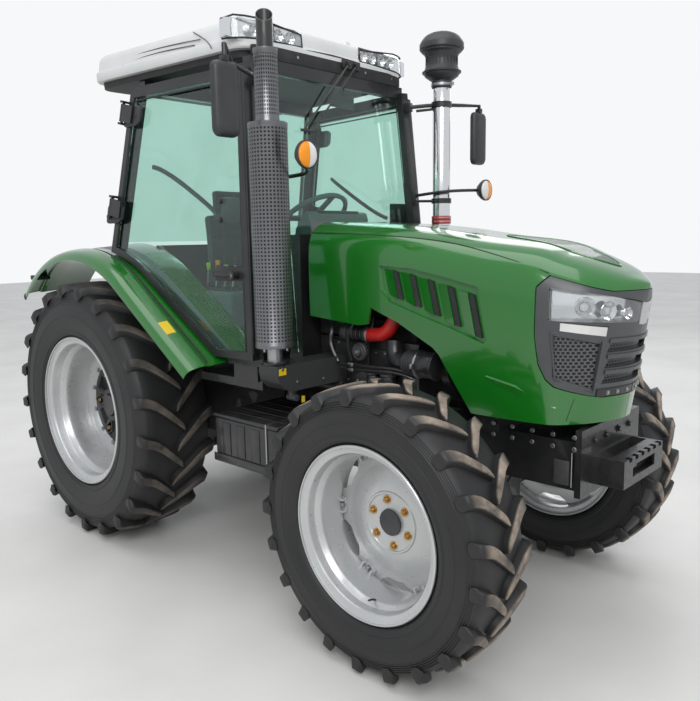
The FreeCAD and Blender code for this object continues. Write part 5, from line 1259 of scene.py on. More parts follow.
class TRACTOR_OT_hood(bpy.types.Operator):
    """Make the hood with its louvres, and the nose with its lamps"""
    bl_idname = "tractor.hood"
    bl_label = "Hood"

    def execute(self, context):
        make_hood()
        make_nose()
        return {"FINISHED"}


# Cab
def roof_half(inset):
    """Half the roof's width behind and in front."""
    return 690 - inset * 0.9, 600 - inset * 0.9


def roof_loops(levels):
    """The roof's rounded outline at each level of (inset, height)."""
    loops = []
    for inset, height in levels:
        rear, front = 5 + inset, 1245 - inset
        wide, slim = roof_half(inset)
        corners = []
        for x, y, radius, start in ((rear, -wide, 90, 180), (front, -slim, 110, 270), (front, slim, 110, 0),
                                    (rear, wide, 90, 90)):
            radius = max(radius - inset * 0.3, 20)
            cx = x + radius if x == rear else x - radius
            corners += quarter(cx, y - math.copysign(radius, y), radius, radius, start, 8)
        loops.append([at(x, y, height / MM) for x, y in corners])
    return loops


ROOF_LEVELS = [(34, 2.594), (6, 2.598), (1, 2.606), (0, 2.64), (3, 2.648), (10, 2.652), (13, 2.66), (16, 2.70),
               (24, 2.722), (40, 2.736), (70, 2.744), (140, 2.7495), (300, 2.752)]


def roof_side(x, z, side):
    """A point on the roof's side at a height."""
    for (low_inset, low), (high_inset, high) in zip(ROOF_LEVELS[3:], ROOF_LEVELS[4:]):
        if z * MM <= high:
            break
    share = max(0.0, min(1.0, (z * MM - low) / (high - low)))
    wide, slim = roof_half(low_inset + (high_inset - low_inset) * share)
    return at(x, side * (wide + (slim - wide) * (x - 5) / 1240), z)


def roof_lamp(bm):
    """Bowl, four lamps and lens of the roof's right front corner."""
    bowl = [(-208, 2656), (-208, 2710), (-236, 2732), (-560, 2738), (-655, 2720), (-655, 2644), (-560, 2636),
            (-240, 2652)]
    plate(bm, [at(1180, y, z) for y, z in bowl], (0.006, 0, 0), slot=1)
    block(bm, at(1134, -640, 2642), at(1180, -622, 2722), slot=1)
    for y in (-270, -345, -420, -495):
        bowl = [(0.014, 0), (0.031, 0.022), (0.029, 0.023), (0.012, 0.003)]
        lathe(bm, bowl, at(1187, y, 2690), AXIS_X, 24, slot=1)
        drum(bm, at(1188, y, 2690), at(1200, y, 2690), 0.013, 0.009, 20, slot=4, round_off=0.003)
    block(bm, at(1186, -382, 2656), at(1216, -376, 2728), slot=2)
    front = [(1236, -214), (1238, -380), (1234, -500), (1222, -560), (1200, -606), (1168, -628), (1140, -632)]
    lows = [2652 - min(16, 4 * k) for k in range(len(front))]
    tops = [2710 + min(26, 14 * k) - (10 if k > 4 else 0) for k in range(len(front))]
    sheet(bm, [[at(x, y, low), at(x, y, (low + top) / 2), at(x - 7, y, top)]
               for (x, y), low, top in zip(front, lows, tops)], 0.003)
    rim = [at(x + 1, y, low) for (x, y), low in zip(front, lows)]
    rim += [at(x - 5, y, top + 2) for (x, y), top in zip(front[::-1], tops[::-1])]
    tube(bm, rim + rim[:1], 0.0045, slot=2, smooth=False)


def make_roof():
    bm = bmesh.new()
    stacked(bm, roof_loops(ROOF_LEVELS))
    roof = piece("Roof", bm, "chassis", ["roof_plastic", "black_rubber"], replaces=["cab_roof"],
                 angle=30)

    def lamp_room(bm):
        outline = [(-205, 2664), (-205, 2712), (-235, 2736), (-560, 2742), (-700, 2722), (-700, 2640),
                   (-560, 2632), (-240, 2650)]
        plate(bm, [at(1178, y, z) for y, z in outline], (0.1, 0, 0), round_off=0.004)

    def corner_room(bm):
        block(bm, at(1130, -720, 2641), at(1190, -560, 2721))

    for make in (lamp_room, corner_room):
        carved(roof, cutter(lambda bm: both_sides(bm, make)), angle=30)
    worked(roof, 0.004, segments=3)
    bm = bmesh.new()
    both_sides(bm, roof_lamp)
    piece("Roof_lamps", bm, "chassis", ["lamp_lens", "reflector", "black_rubber", "steel", "white_lens"],
          replaces=["roof_lamps"])
    # Dark band under the roof, its arch over the windscreen, grooves, bolts and the knob
    bm = bmesh.new()
    stacked(bm, roof_loops([(60, 2.561), (34, 2.563), (30, 2.5945), (60, 2.5946)]))
    arch = [(540, 2562), (540, 2612), (430, 2628), (280, 2640), (120, 2648)]
    arch = [(-540, 2562), *arch, (0, 2651), *[(-y, z) for y, z in arch[:0:-1]]]
    plate(bm, [at(1228, y, z) for y, z in arch], (0.0165, 0, 0), round_off=0.003)
    for y in (-470, -250, 250, 470):
        drum(bm, at(1243, y, 2598), at(1244.8, y, 2598), 0.007, sides=16, slot=1)
    for side in (-1, 1):
        for line in (
            [(940, 2676), (760, 2688), (480, 2692), (280, 2680), (225, 2662), (205, 2620)],
            [(900, 2656), (720, 2668), (480, 2670), (320, 2658), (285, 2644), (272, 2616)],
            [(880, 2722), (940, 2690), (1010, 2650), (1035, 2616)],
        ):
            tube(bm, [roof_side(x, z, side) for x, z in line], 0.0022, slot=2, sides=1)
    drum(bm, at(1195, 163, 2735), at(1195, 163, 2744), 0.012, 0.012, 20, slot=3, round_off=0.002)
    drum(bm, at(1195, 163, 2744), at(1195, 163, 2752), 0.007, 0.004, 16, slot=1, round_off=0.002)
    piece("Roof_trim", bm, "chassis", ["black_rubber", "steel", "dark_grey_plastic", "roof_plastic"])


def side_at(side, x, z, out=0.0):
    """A point on the outer plane of a cab side."""
    return at(x, side * (878 - 0.0871 * x - 0.0613 * z + out), z)


def side_plate(bm, outline, low, high, side, slot=0, round_off=0.0):
    """A plate with an outline of (x, z) on a cab side, between two distances out."""
    push = side_at(side, 0, 0, high) - side_at(side, 0, 0, low)
    plate(bm, [side_at(side, x, z, low) for x, z in outline], push, slot, round_off)


def side_strip(bm, line, width, low, high, side, slot=0, round_off=0.0):
    """A straight strip between two points of (x, z) on a cab side."""
    start, end = [Vector(point) for point in line]
    off = (end - start).normalized().orthogonal() * width / 2
    side_plate(bm, [start + off, end + off, end - off, start - off], low, high, side, slot, round_off)


def make_cab_trim():
    """Post covers, seals, and the doors' handles, hinges and grab bars."""
    bm = bmesh.new()
    for side in (-1, 1):
        # Wide front post cover and its inner seal, behind the door
        side_strip(bm, [(1336, 1176), (1252, 2500)], 30, -40, 0, side, round_off=0.006)
        for line in ([(1300, 1190), (1222, 2440)], [(450, 2446), (1216, 2446)], [(272, 1672), (452, 2440)]):
            side_strip(bm, line, 9, -4, 1.5, side, slot=1, round_off=0.002)
    piece("Door_seals", bm, "chassis", ["black_paint", "black_rubber"])
    for name, side in (("right", -1), ("left", 1)):
        def spots(*places):
            return [side_at(side, *place) for place in places]

        bm = bmesh.new()
        # Handle on its plate
        side_strip(bm, [(1092, 1566), (1258, 1552)], 62, 0, 3, side, round_off=0.008)
        tube(bm, spots((1112, 1556, 3), (1112, 1552, 30), (1180, 1548, 36), (1236, 1548, 30)), 0.011)
        drum(bm, *spots((1236, 1548, 4), (1236, 1548, 38)), 0.022, 0.02, 28, round_off=0.003)
        drum(bm, *spots((1236, 1548, 34), (1236, 1548, 39.5)), 0.008, sides=20, slot=1, round_off=0.001)
        # Latch box inside the pane
        side_strip(bm, [(1090, 1860), (1230, 1850)], 120, -52, -24, side, round_off=0.012)
        for z in (1900, 1810):
            drum(bm, *spots((1098, z, -22), (1098, z, -8)), 0.017, 0.014, 24, round_off=0.003)
        # Diagonal grab bar behind the pane
        tube(bm, spots((560, 2100, -30), (600, 2090, -70), (1010, 1850, -75), (1060, 1830, -34)), 0.012)
        body = f"door_{name}"
        piece(f"Door_handle_{name}", bm, body, ["black_paint", "steel"])
        # Hinges: a moulded cover with a rim
        bm = bmesh.new()
        for x, z in ((433, 2366), (268, 1867)):
            cover = [(-46, -40), (-30, -52), (62, -52), (92, -34), (92, 34), (62, 52), (-30, 52), (-46, 40)]
            ring = [(-16, -30), (38, -30), (66, 0), (38, 30), (-16, 30), (-30, 0), (-16, -30)]
            cover, ring = [[(x + u + 0.2 * v, z + v) for u, v in line] for line in (cover, ring)]
            side_plate(bm, cover, 3, 22, side, round_off=0.006)
            tube(bm, spots(*[(*place, 22.5) for place in ring]), 0.003, smooth=False, sides=1)
            drum(bm, *spots((x + 14, z, 20), (x + 14, z, 25)), 0.012, 0.009, 20, round_off=0.002)
        piece(f"Door_hinges_{name}", bm, body, ["dark_grey_plastic"])


# Section of a fender: distance out and height above its plain radius, in mm
FENDER_SECTION = [
    (448, 0), (448, 1.5), (452, 2.5), (560, -7), (680, -19), (772, -28), (779, -27), (783, -23), (789, -21),
    (806, -22.5), (832, -26), (856, -31.5), (874, -38), (887, -47), (895, -58), (899, -72), (899.5, -86),
    (897, -88), (893, -86),
]


def fender_place(travel, out, lift):
    """A point on a fender: travel is 0 to 1 along the arc and 1 to 2 down the front slope."""
    rear, front = math.radians(134.5), math.radians(55.7)
    turn = rear + (front - rear) * min(travel, 1)
    slide = 712 * max(travel - 1, 0)
    reach = 958 + lift
    return at(reach * math.cos(turn) + slide * math.sin(turn), out,
              745 + reach * math.sin(turn) - slide * math.cos(turn))


def make_fenders():
    """Crowned sheets with a stepped band and a rolled lip, rubber seals, liners and blank labels."""
    def strip(travels, line, wall, upwards=True):
        rows = [[fender_place(t, -out, lift) for out, lift in line] for t in travels]
        part = bmesh.new()
        both_sides(part, lambda bm: sheet(bm, rows, wall, upwards))
        return part

    travels = [k / 40 for k in range(41)] + [1 + k / 16 for k in range(1, 17)]
    skin = piece("Fenders", strip(travels, FENDER_SECTION, 0.005), "chassis", ["green_paint"],
                 replaces=["fenders"], angle=32)
    worked(skin, 0.0015, 50)

    def trim(bm):
        travels = [0.3 + 0.07 * k for k in range(11)] + [1.06 + 0.09 * k for k in range(11)]
        tube(bm, [fender_place(t, -768, -27) for t in travels], 0.0055, sides=1)
        low = fender_place(0.12, -860, -33)
        block(bm, low + Vector((-0.05, -0.012, -0.012)), low + Vector((0.055, 0.07, 0.016)), round_off=0.006)
        rear = [fender_place(0.004, -out, lift) for out, lift in FENDER_SECTION[1:-1]]
        tube(bm, rear, 0.006, smooth=False, sides=1)

    bm = bmesh.new()
    both_sides(bm, trim)
    piece("Fender_seals", bm, "chassis", ["black_rubber"])
    travels = [0.28 + 0.72 * k / 24 for k in range(25)] + [1 + 0.9 * k / 12 for k in range(1, 13)]
    lining = [(out, 2.5 - 40 * (out - 448) / 452) for out in (452, 540, 630, 706)]
    piece("Fender_liners", strip(travels, lining, 0.002), "chassis", ["interior_plastic"])
    label = [(out, lift + 0.9) for out, lift in FENDER_SECTION[9:12]]
    piece("Fender_labels", strip((1.50, 1.54, 1.59, 1.63), label, 0.0007, False), "chassis", ["blank_label"])


# Exhaust, intake and what stands beside the hood
def make_stack():
    """Perforated guards round the pipe, the plain tail with its sloped mouth, and the shield's bolts."""
    axis = at(*STACK, 0)
    bm = bmesh.new()
    for r, low, high in ((0.088, 1.227, 2.216), (0.054, 2.214, 2.525)):
        thin = r - 0.0012
        profile = [(r - 0.003, low), (r, low), (r, low + 0.018), (thin, low + 0.02), (thin, high - 0.02),
                   (r, high - 0.018), (r, high), (r - 0.003, high)]
        lathe(bm, profile, axis, AXIS_Z, 72)
    piece("Exhaust_guards", bm, "chassis", ["guard_holes"], replaces=["exhaust_stack"])
    bm = bmesh.new()
    drum(bm, axis + AXIS_Z * 1.15, axis + AXIS_Z * 1.24, 0.036, sides=40, slot=1)
    drum(bm, axis + AXIS_Z * 1.147, axis + AXIS_Z * 1.161, 0.059, sides=40, round_off=0.002)
    for k in range(3):
        turn = math.tau * k / 3 + 0.5
        place = axis + Vector((0.06 * math.cos(turn), 0.06 * math.sin(turn), 1.24))
        drum(bm, place - AXIS_Z * 0.03, place + AXIS_Z * 0.02, 0.006, sides=12, slot=1)
    # Shallow cones close the guards' ends
    for cone in ([(0.084, 1.229), (0.036, 1.231), (0.036, 1.234), (0.084, 1.232)],
                 [(0.087, 2.217), (0.050, 2.219), (0.050, 2.215), (0.087, 2.213)],
                 [(0.053, 2.526), (0.035, 2.530), (0.035, 2.524), (0.053, 2.522)]):
        lathe(bm, cone, axis, AXIS_Z, 48)
    piece("Exhaust_ends", bm, "chassis", ["black_paint", "steel"])
    bm = bmesh.new()
    lathe(bm, [(0.034, 2.3), (0.0368, 2.3), (0.0368, 2.709), (0.034, 2.709)], axis, AXIS_Z, 48)
    tail = piece("Exhaust_tail", bm, "chassis", ["black_paint"])

    def mouth(bm):
        # The pipe's open mouth slopes down towards the right front
        way, across = Vector((0.756, -0.653, 0)), Vector((0.653, 0.756, 0))
        corners = ((0.06, 2.608), (-0.05, 2.716), (-0.05, 2.78), (0.06, 2.78))
        plate(bm, [axis + way * run + AXIS_Z * z - across * 0.1 for run, z in corners], across * 0.2)
    carved(tail, cutter(mouth))
    # Shield: bolts, blank label, and the valve with its tag below
    worked(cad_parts["exhaust_shield"], 0.006, segments=3)
    bm = bmesh.new()
    for y, z in ((-600, 1062), (-430, 1052), (-330, 1128), (-690, 1132)):
        bolt(bm, at(1553, y, z), AXIS_X, 0.008, 0.005)
    block(bm, at(1554, -712, 1105), at(1556, -668, 1135), slot=1)
    drum(bm, at(1520, -600, 985), at(1520, -600, 1022), 0.02, sides=20, slot=2)
    drum(bm, at(1490, -600, 985), at(1550, -600, 985), 0.016, sides=20, slot=2, round_off=0.002)
    block(bm, at(1552, -575, 960), at(1554, -555, 990), slot=1)
    piece("Shield_bolts", bm, "chassis", ["steel", "blank_label", "cast_grey"])


def band(bm, place, inner, outer, half, steps, slot):
    """A flat ring round an upright pipe."""
    lathe(bm, [(inner, -half), (outer, -half), (outer, half), (inner, half)], place, AXIS_Z, steps, slot)


def make_intake():
    """Polished pipe with its red coupling, clamps, and the dark precleaner on top."""
    bm = bmesh.new()
    axis = at(*INTAKE, 0)
    lathe(bm, [(0.0, 1.19), (0.0498, 1.19), (0.0498, 1.789), (0.0, 1.789)], axis, AXIS_Z, 48)
    lathe(bm, [(0.0, 1.83), (0.0498, 1.83), (0.0498, 2.556), (0.046, 2.562), (0.0, 2.562)], axis, AXIS_Z, 48)
    lathe(bm, [(0.0, 1.786), (0.052, 1.786), (0.0558, 1.792), (0.0535, 1.799), (0.0558, 1.809), (0.0535, 1.819),
               (0.0558, 1.827), (0.052, 1.832), (0.0, 1.832)], axis, AXIS_Z, 48, slot=1)
    for z in (1.80, 1.822):
        band(bm, axis + AXIS_Z * z, 0.0535, 0.0565, 0.004, 48, 2)
    block(bm, at(1410, 250, 1150), at(1490, 664, 1230), slot=3, round_off=0.02, segments=4)
    piece("Intake_pipe", bm, "chassis", ["chrome_pipe", "red_rubber", "steel", "dark_grey_plastic"],
          replaces=["intake_stack"])
    bm = bmesh.new()
    rings = [(0.0, 2.54), (0.052, 2.54), (0.056, 2.545), (0.056, 2.578), (0.060, 2.582), (0.072, 2.590),
             (0.094, 2.606), (0.098, 2.614), (0.099, 2.620), (0.108, 2.622), (0.110, 2.626), (0.110, 2.630),
             (0.103, 2.632), (0.098, 2.638), (0.090, 2.662), (0.086, 2.688), (0.087, 2.70), (0.092, 2.712),
             (0.100, 2.728), (0.110, 2.734), (0.113, 2.738),
             (0.113, 2.744), (0.121, 2.746), (0.1245, 2.752), (0.1245, 2.776), (0.122, 2.782), (0.115, 2.794),
             (0.102, 2.812), (0.084, 2.826), (0.060, 2.836), (0.032, 2.8415), (0.0, 2.8425)]
    lathe(bm, rings, axis, AXIS_Z, 72)
    for k in range(24):
        way = Matrix.Rotation(math.tau * k / 24, 3, "Z") @ AXIS_X
        tube(bm, [axis + way * 0.0885 + AXIS_Z * z for z in (2.645, 2.70, 2.728)], 0.0032, smooth=False, sides=1)
    band(bm, axis + AXIS_Z * 2.559, 0.0565, 0.0595, 0.007, 48, 1)
    block(bm, axis + Vector((0.05, -0.012, 2.55)), axis + Vector((0.078, 0.012, 2.568)), slot=1, round_off=0.002)
    piece("Precleaner", bm, "chassis", ["dark_grey_plastic", "steel"], angle=30)


def marker_lamp(bm, x, y, z, inner):
    """A round lamp: dark cone housing, amber outer half and white inner half."""
    place = at(x, y, z)
    housing = [(0.0, -0.04), (0.026, -0.04), (0.034, -0.034), (0.052, -0.012), (0.0585, -0.002), (0.060, 0.006),
               (0.060, 0.014), (0.0565, 0.016), (0.054, 0.010), (0.0, 0.010)]
    lathe(bm, housing, place, AXIS_X, 48)
    for sign, slot in ((inner, 2), (-inner, 1)):
        part = bmesh.new()
        bmesh.ops.create_uvsphere(part, u_segments=32, v_segments=16, radius=1.0)
        for vert in part.verts:
            vert.co = Vector((max(vert.co.x, 0.0) * 0.018 + 0.011, vert.co.y * 0.0545, vert.co.z * 0.0545))
        bmesh.ops.translate(part, vec=place, verts=part.verts)
        geom = part.verts[:] + part.edges[:] + part.faces[:]
        bmesh.ops.bisect_plane(part, geom=geom, plane_co=place + AXIS_Y * sign * 0.001, plane_no=(0, -sign, 0),
                               clear_outer=True)
        bmesh.ops.holes_fill(part, edges=[e for e in part.edges if e.is_boundary])
        bmesh.ops.remove_doubles(part, verts=part.verts, dist=0.0002)
        add(bm, part, slot)


def mirror_head(bm, y):
    """A deep rounded shell with its glass towards the rear."""
    outline = []
    for cy, cz, start in ((32, 116, 0), (-32, 116, 90), (-32, -116, 180), (32, -116, 270)):
        outline += quarter(cy, cz, 32, 33, start, 6)
    levels = ((1511, 0.96), (1513, 1.0), (1526, 1.0), (1537, 0.95), (1545, 0.82), (1549.5, 0.5))
    stacked(bm, [[at(x, y + u * scale, 2280 + v * (1 - (1 - scale) * 0.35)) for u, v in outline]
                 for x, scale in levels])
    plate(bm, [at(1510.6, y + u * 0.86, 2280 + v * 0.93) for u, v in outline], (-0.0005, 0, 0), slot=2)
    drum(bm, at(1530, y, 2412), at(1530, y, 2426), 0.016, 0.014, 20, slot=1)
    block(bm, at(1512, y - 14, 2425), at(1546, y + 14, 2450), slot=1, round_off=0.004)


def make_side_pieces():
    """Mirrors and round lamps on their arms, with clamps on the intake pipe."""
    bm = bmesh.new()
    for y in (-925, 925):
        mirror_head(bm, y)
    left = [(1306, 560, 2445), (1380, 610, 2450), (1450, 664, 2452), (1490, 800, 2460), (1530, 925, 2466),
            (1530, 925, 2440)]
    right = [(1306, -560, 2445), (1375, -770, 2470), (1530, -925, 2492), (1530, -925, 2440)]
    for line in (left, right):
        tube(bm, places(*line), 0.0108, slot=1, smooth=False, sides=3)
    for y in (-560, 560):
        block(bm, at(1272, y - 18, 2420), at(1312, y + 18, 2470), slot=1, round_off=0.005)
        for z in (2432, 2458):
            bolt(bm, at(1312, y, z), AXIS_X, 0.0045, 0.003, slot=3, washer=False)
    # A slotted strap beside the left arm, and the clamp round the intake pipe
    tube(bm, places((1330, 585, 2425), (1440, 648, 2432)), 0.008, slot=1, smooth=False)
    band(bm, at(*INTAKE, 2452), 0.0505, 0.0572, 0.014, 40, 1)
    piece("Mirrors", bm, "chassis", ["dark_grey_plastic", "black_paint", "chrome_pipe", "steel"],
          replaces=["mirrors"])
    bm = bmesh.new()
    for x, y, z, inner in ((1625, 845, 1975, -1), (1700, -650, 2065, 1)):
        marker_lamp(bm, x, y, z, inner)
        bolt(bm, at(x - 20, y, z - 42), AXIS_X, 0.006, 0.004, slot=4)
    left = [(1320, 580, 1950), (1420, 585, 1958), (1520, 592, 1965), (1570, 700, 1972), (1600, 812, 1975)]
    right = [(1320, -580, 1990), (1345, -545, 1990), (1460, -540, 1994), (1600, -541, 2000), (1665, -620, 2025),
             (1680, -642, 2040)]
    for line in (left, right):
        tube(bm, places(*line), 0.0088, slot=3, sides=3)
    tube(bm, places((1320, 580, 1920), (1448, 660, 1917)), 0.0078, slot=3, smooth=False)
    band(bm, at(*INTAKE, 1917), 0.0505, 0.0572, 0.014, 40, 3)
    for y, z in ((580, 1950), (-580, 1990)):
        block(bm, at(1302, y - 18, z - 44), at(1332, y + 18, z + 30), slot=3, round_off=0.005)
        bolt(bm, at(1332, y, z - 20), AXIS_X, 0.006, 0.004, slot=4, washer=False)
    piece("Marker_lamps", bm, "chassis",
          ["dark_grey_plastic", "amber_lens", "white_lens", "black_paint", "steel"],
          replaces=["marker_lamps"])


class TRACTOR_OT_cab(bpy.types.Operator):
    """Make the roof with its lamps, the door details and the fender trim"""
    bl_idname = "tractor.cab"
    bl_label = "Cab"

    def execute(self, context):
        make_roof()
        make_cab_trim()
        make_fenders()
        return {"FINISHED"}


class TRACTOR_OT_stacks(bpy.types.Operator):
    """Make the exhaust, the intake, the mirrors and the round lamps"""
    bl_idname = "tractor.stacks"
    bl_label = "Stacks, mirrors and lamps"

    def execute(self, context):
        make_stack()
        make_intake()
        make_side_pieces()
        return {"FINISHED"}


# Engine bay, battery box and front frame
def ringed(bm, start, end, radius, count, rise, slot=0, sides=32):
    """A hose along a straight line with raised rings."""
    run = end - start
    drum(bm, start, end, radius, sides=sides, slot=slot)
    for k in range(count):
        place = start + run * ((k + 0.5) / count)
        half = run.normalized() * (run.length / count * 0.22)
        drum(bm, place - half, place + half, radius + rise, sides=sides, slot=slot, round_off=rise * 0.6)


# Covers on the engine's sides: x from and to, z from and to, distance out
COVERS = [(1420, 1700, 1010, 1220, 268), (1720, 1930, 960, 1190, 264), (1450, 2050, 770, 930, 254)]


def barrel(bm, x, length, y, z, radius, slot, sides, round_off):
    """A round bar that lies along the tractor: all but the number of sides in mm."""
    drum(bm, at(x, y, z), at(x + length, y, z), radius * MM, sides=sides, slot=slot, round_off=round_off * MM)


# Round parts on the engine's right side: x, length, y, z, radius, slot, sides, rounding
CANISTER = [(1957, 71, 56, 0, 48, 4), *[(x, 6, 59.5, 0, 48, 2) for x in (1968, 1981, 1994, 2007)],
            (2026, 14, 63.5, 1, 48, 3), (2040, 82, 61, 2, 48, 8), (2112, 16, 64, 2, 48, 3),
            (1940, 20, 44, 2, 40, 3)]
HOSE_JOINTS = [(1708, 24, 38.5, 1, 36, 3), (1712, 15, 40.5, 0, 36, 2)]
# Lines and hoses: slot, radius, roundness, and points
ENGINE_LINES = [
    (2, 0.04, 5, [(1945, -292, 1152), (1905, -292, 1152), (1868, -280, 1180), (1862, -268, 1240)]),
    (3, 0.034, 5, [(1722, -288, 1262), (1770, -290, 1262), (1822, -288, 1272), (1856, -280, 1305),
                   (1866, -268, 1350)]),
    (2, 0.006, 2, [(1700, -300, 1200), (1740, -318, 1236), (1756, -300, 1300), (1740, -270, 1370)]),
    (2, 0.009, 2, [(1650, -262, 1370), (1630, -310, 1300), (1600, -318, 1210), (1620, -300, 1130)]),
    (2, 0.011, 2, [(1480, -262, 1330), (1505, -315, 1280), (1500, -330, 1190), (1560, -330, 1120)]),
    (2, 0.027, 4, [(2100, -120, 1330), (2180, -150, 1372), (2262, -150, 1385), (2304, -150, 1380)]),
]
PULLEY = [(0.0, -0.012), (0.018, -0.012), (0.022, -0.009), (0.022, 0.0), (0.030, 0.004), (0.039, 0.002),
          (0.043, 0.006), (0.043, 0.012), (0.036, 0.008), (0.036, 0.016), (0.043, 0.014), (0.043, 0.022),
          (0.0, 0.022)]


def make_engine():
    """What shows of the engine between the hood and the front wheels, on both sides."""
    bm = bmesh.new()
    # Air cleaner canister with ribs and clamps, the intake hose's joints, starter and filters
    for x, length, radius, slot, sides, rounding in CANISTER:
        barrel(bm, x, length, -292, 1152, radius, slot, sides, rounding)
    block(bm, at(2026, -368, 1140), at(2040, -350, 1164), slot=1, round_off=0.003)
    for x, length, radius, slot, sides, rounding in HOSE_JOINTS:
        barrel(bm, x, length, -288, 1262, radius, slot, sides, rounding)
    ringed(bm, at(1600, -288, 1262), at(1708, -288, 1262), 0.031, 4, 0.008, slot=2)
    barrel(bm, 1560, 42, -284, 1262, 43, 0, 36, 6)
    barrel(bm, 1400, 170, -292, 985, 42, 2, 40, 8)
    barrel(bm, 1410, 80, -296, 1052, 23, 0, 28, 4)
    for slot, radius, sides, line in ENGINE_LINES:
        tube(bm, places(*line), radius, slot=slot, sides=sides)
    lathe(bm, PULLEY, at(1690, -330, 1180), AXIS_Y, 48)
    bolt(bm, at(1690, -342, 1180), -AXIS_Y, 0.009, 0.007, slot=1)
    # Cast covers and flanges of the block, both sides
    for side in (-1, 1):
        for low_x, high_x, low, high, out in COVERS:
            block(bm, at(low_x, side * 248, low), at(high_x, side * out, high), 2, 0.004, 3)
            for x in range(low_x + 22, high_x, 62):
                for z in (low + 16, high - 16):
                    bolt(bm, at(x, side * (out - 1), z), AXIS_Y * side, 0.007, 0.004, slot=1, washer=False)
        block(bm, at(1372, side * 250, 1240), at(1540, side * 268, 1372), slot=2, round_off=0.015, segments=3)
    # Manifold above the covers on the left, and its four branches
    tube(bm, places((1500, 285, 1330), (1990, 285, 1330)), 0.034, slot=2, smooth=False, sides=5)
    for x in (1540, 1680, 1820, 1960):
        tube(bm, places((x, 250, 1330), (x, 290, 1330)), 0.028, slot=2, smooth=False, sides=4)
        block(bm, at(x - 45, 250, 1296), at(x + 45, 262, 1364), slot=2, round_off=0.008)
    # Fuel filters, injection pump and its lines, and the two hoses below
    for x in (1760, 1850):
        drum(bm, at(x, -300, 1016), at(x, -300, 1078), 0.034, sides=40, slot=2, round_off=0.008)
        drum(bm, at(x, -300, 1078), at(x, -300, 1090), 0.04, sides=40, round_off=0.003)
        bolt(bm, at(x, -300, 1090), AXIS_Z, 0.009, 0.008, slot=1)
    block(bm, at(1722, -330, 1088), at(1890, -270, 1112), round_off=0.006)
    for k in range(4):
        x = 1570 + 60 * k
        tube(bm, places((1560 + 24 * k, 285, 1150), (x, 300, 1200), (x + 30, 296, 1262), (x + 40, 262, 1300)),
             0.0042, slot=1, sides=1)
    block(bm, at(1500, 262, 1090), at(1640, 312, 1150), round_off=0.01)
    for z, dip in ((1114, 4), (1098, -6)):
        tube(bm, places((1585, -338, z), (1640, -342, z + dip), (1800, -344, z + 6), (1950, -334, z + 12),
                        (2010, -300, z - 20)), 0.0075, slot=2)
        drum(bm, at(1640, -342, z + dip), at(1672, -342.5, z + dip * 0.8), 0.0105, sides=16, slot=1,
             round_off=0.002)
    # Fan shroud
    barrel(bm, 2210, 90, 0, 1165, 235, 2, 64, 10)
    piece("Engine_pieces", bm, "chassis", ["cast_grey", "steel", "engine_black", "red_rubber"],
          replaces=["air_cleaner"])


def make_chassis_trim():
    """Battery box with its lid, strap and tray, frame bolts and the blocks of the front frame."""
    bm = bmesh.new()
    # Blocks in mm: low corner, high corner, slot, rounding, segments
    for low, high, slot, rounding, segments in (
        ((1066, -718, 636), (1538, -180, 846), 0, 12, 3), ((1058, -724, 846), (1544, -176, 866), 0, 8, 3),
        *[((1080, y - 14, 864), (1520, y + 14, 867.5), 0, 1.5, 2) for y in range(-640, -239, 80)],
        *[((x, -722, 668), (x + 60, -716, 828), 0, 3, 2) for x in (1130, 1240, 1350)],
        ((1057, -724.5, 621), (1544.5, -176, 632), 1, 3, 2),
        ((1057, -724.5, 630), (1544.5, -719.5, 662), 1, 2, 2),
        ((1539.5, -724.5, 630), (1544.5, -176, 662), 1, 2, 2),
        ((1457, -724.6, 640), (1467, -719, 868), 2, 1.5, 2),
        ((1457, -724, 865.5), (1467, -500, 868), 2, 1, 2),
    ):
        block(bm, at(*low), at(*high), slot, rounding * MM, segments)
    for y in (-660, -520, -300):
        bolt(bm, at(1544, y, 646), AXIS_X, 0.007, 0.004, slot=2, washer=False)
    piece("Battery_box", bm, "chassis", ["engine_black", "black_paint", "steel"], replaces=["battery_box"])
    bm = bmesh.new()
    for side in (-1, 1):
        for x in (2400, 2490, 2580, 2670, 2760):
            for z in (893, 940):
                bolt(bm, at(x, side * 274, z), AXIS_Y * side, 0.011, 0.004, washer=False)
        block(bm, at(2676, side * 266, 742), at(2742, side * 278, 842), slot=1, round_off=0.006)
        tube(bm, places((2752, side * 276, 740), (2752, side * 276, 880)), 0.003, smooth=False)
    for y in (-165, -60, 60, 165):
        bolt(bm, at(2790, y, 915), AXIS_X, 0.012, 0.01, slot=2)
    piece("Frame_bolts", bm, "chassis", ["steel", "cast_grey", "black_paint"])


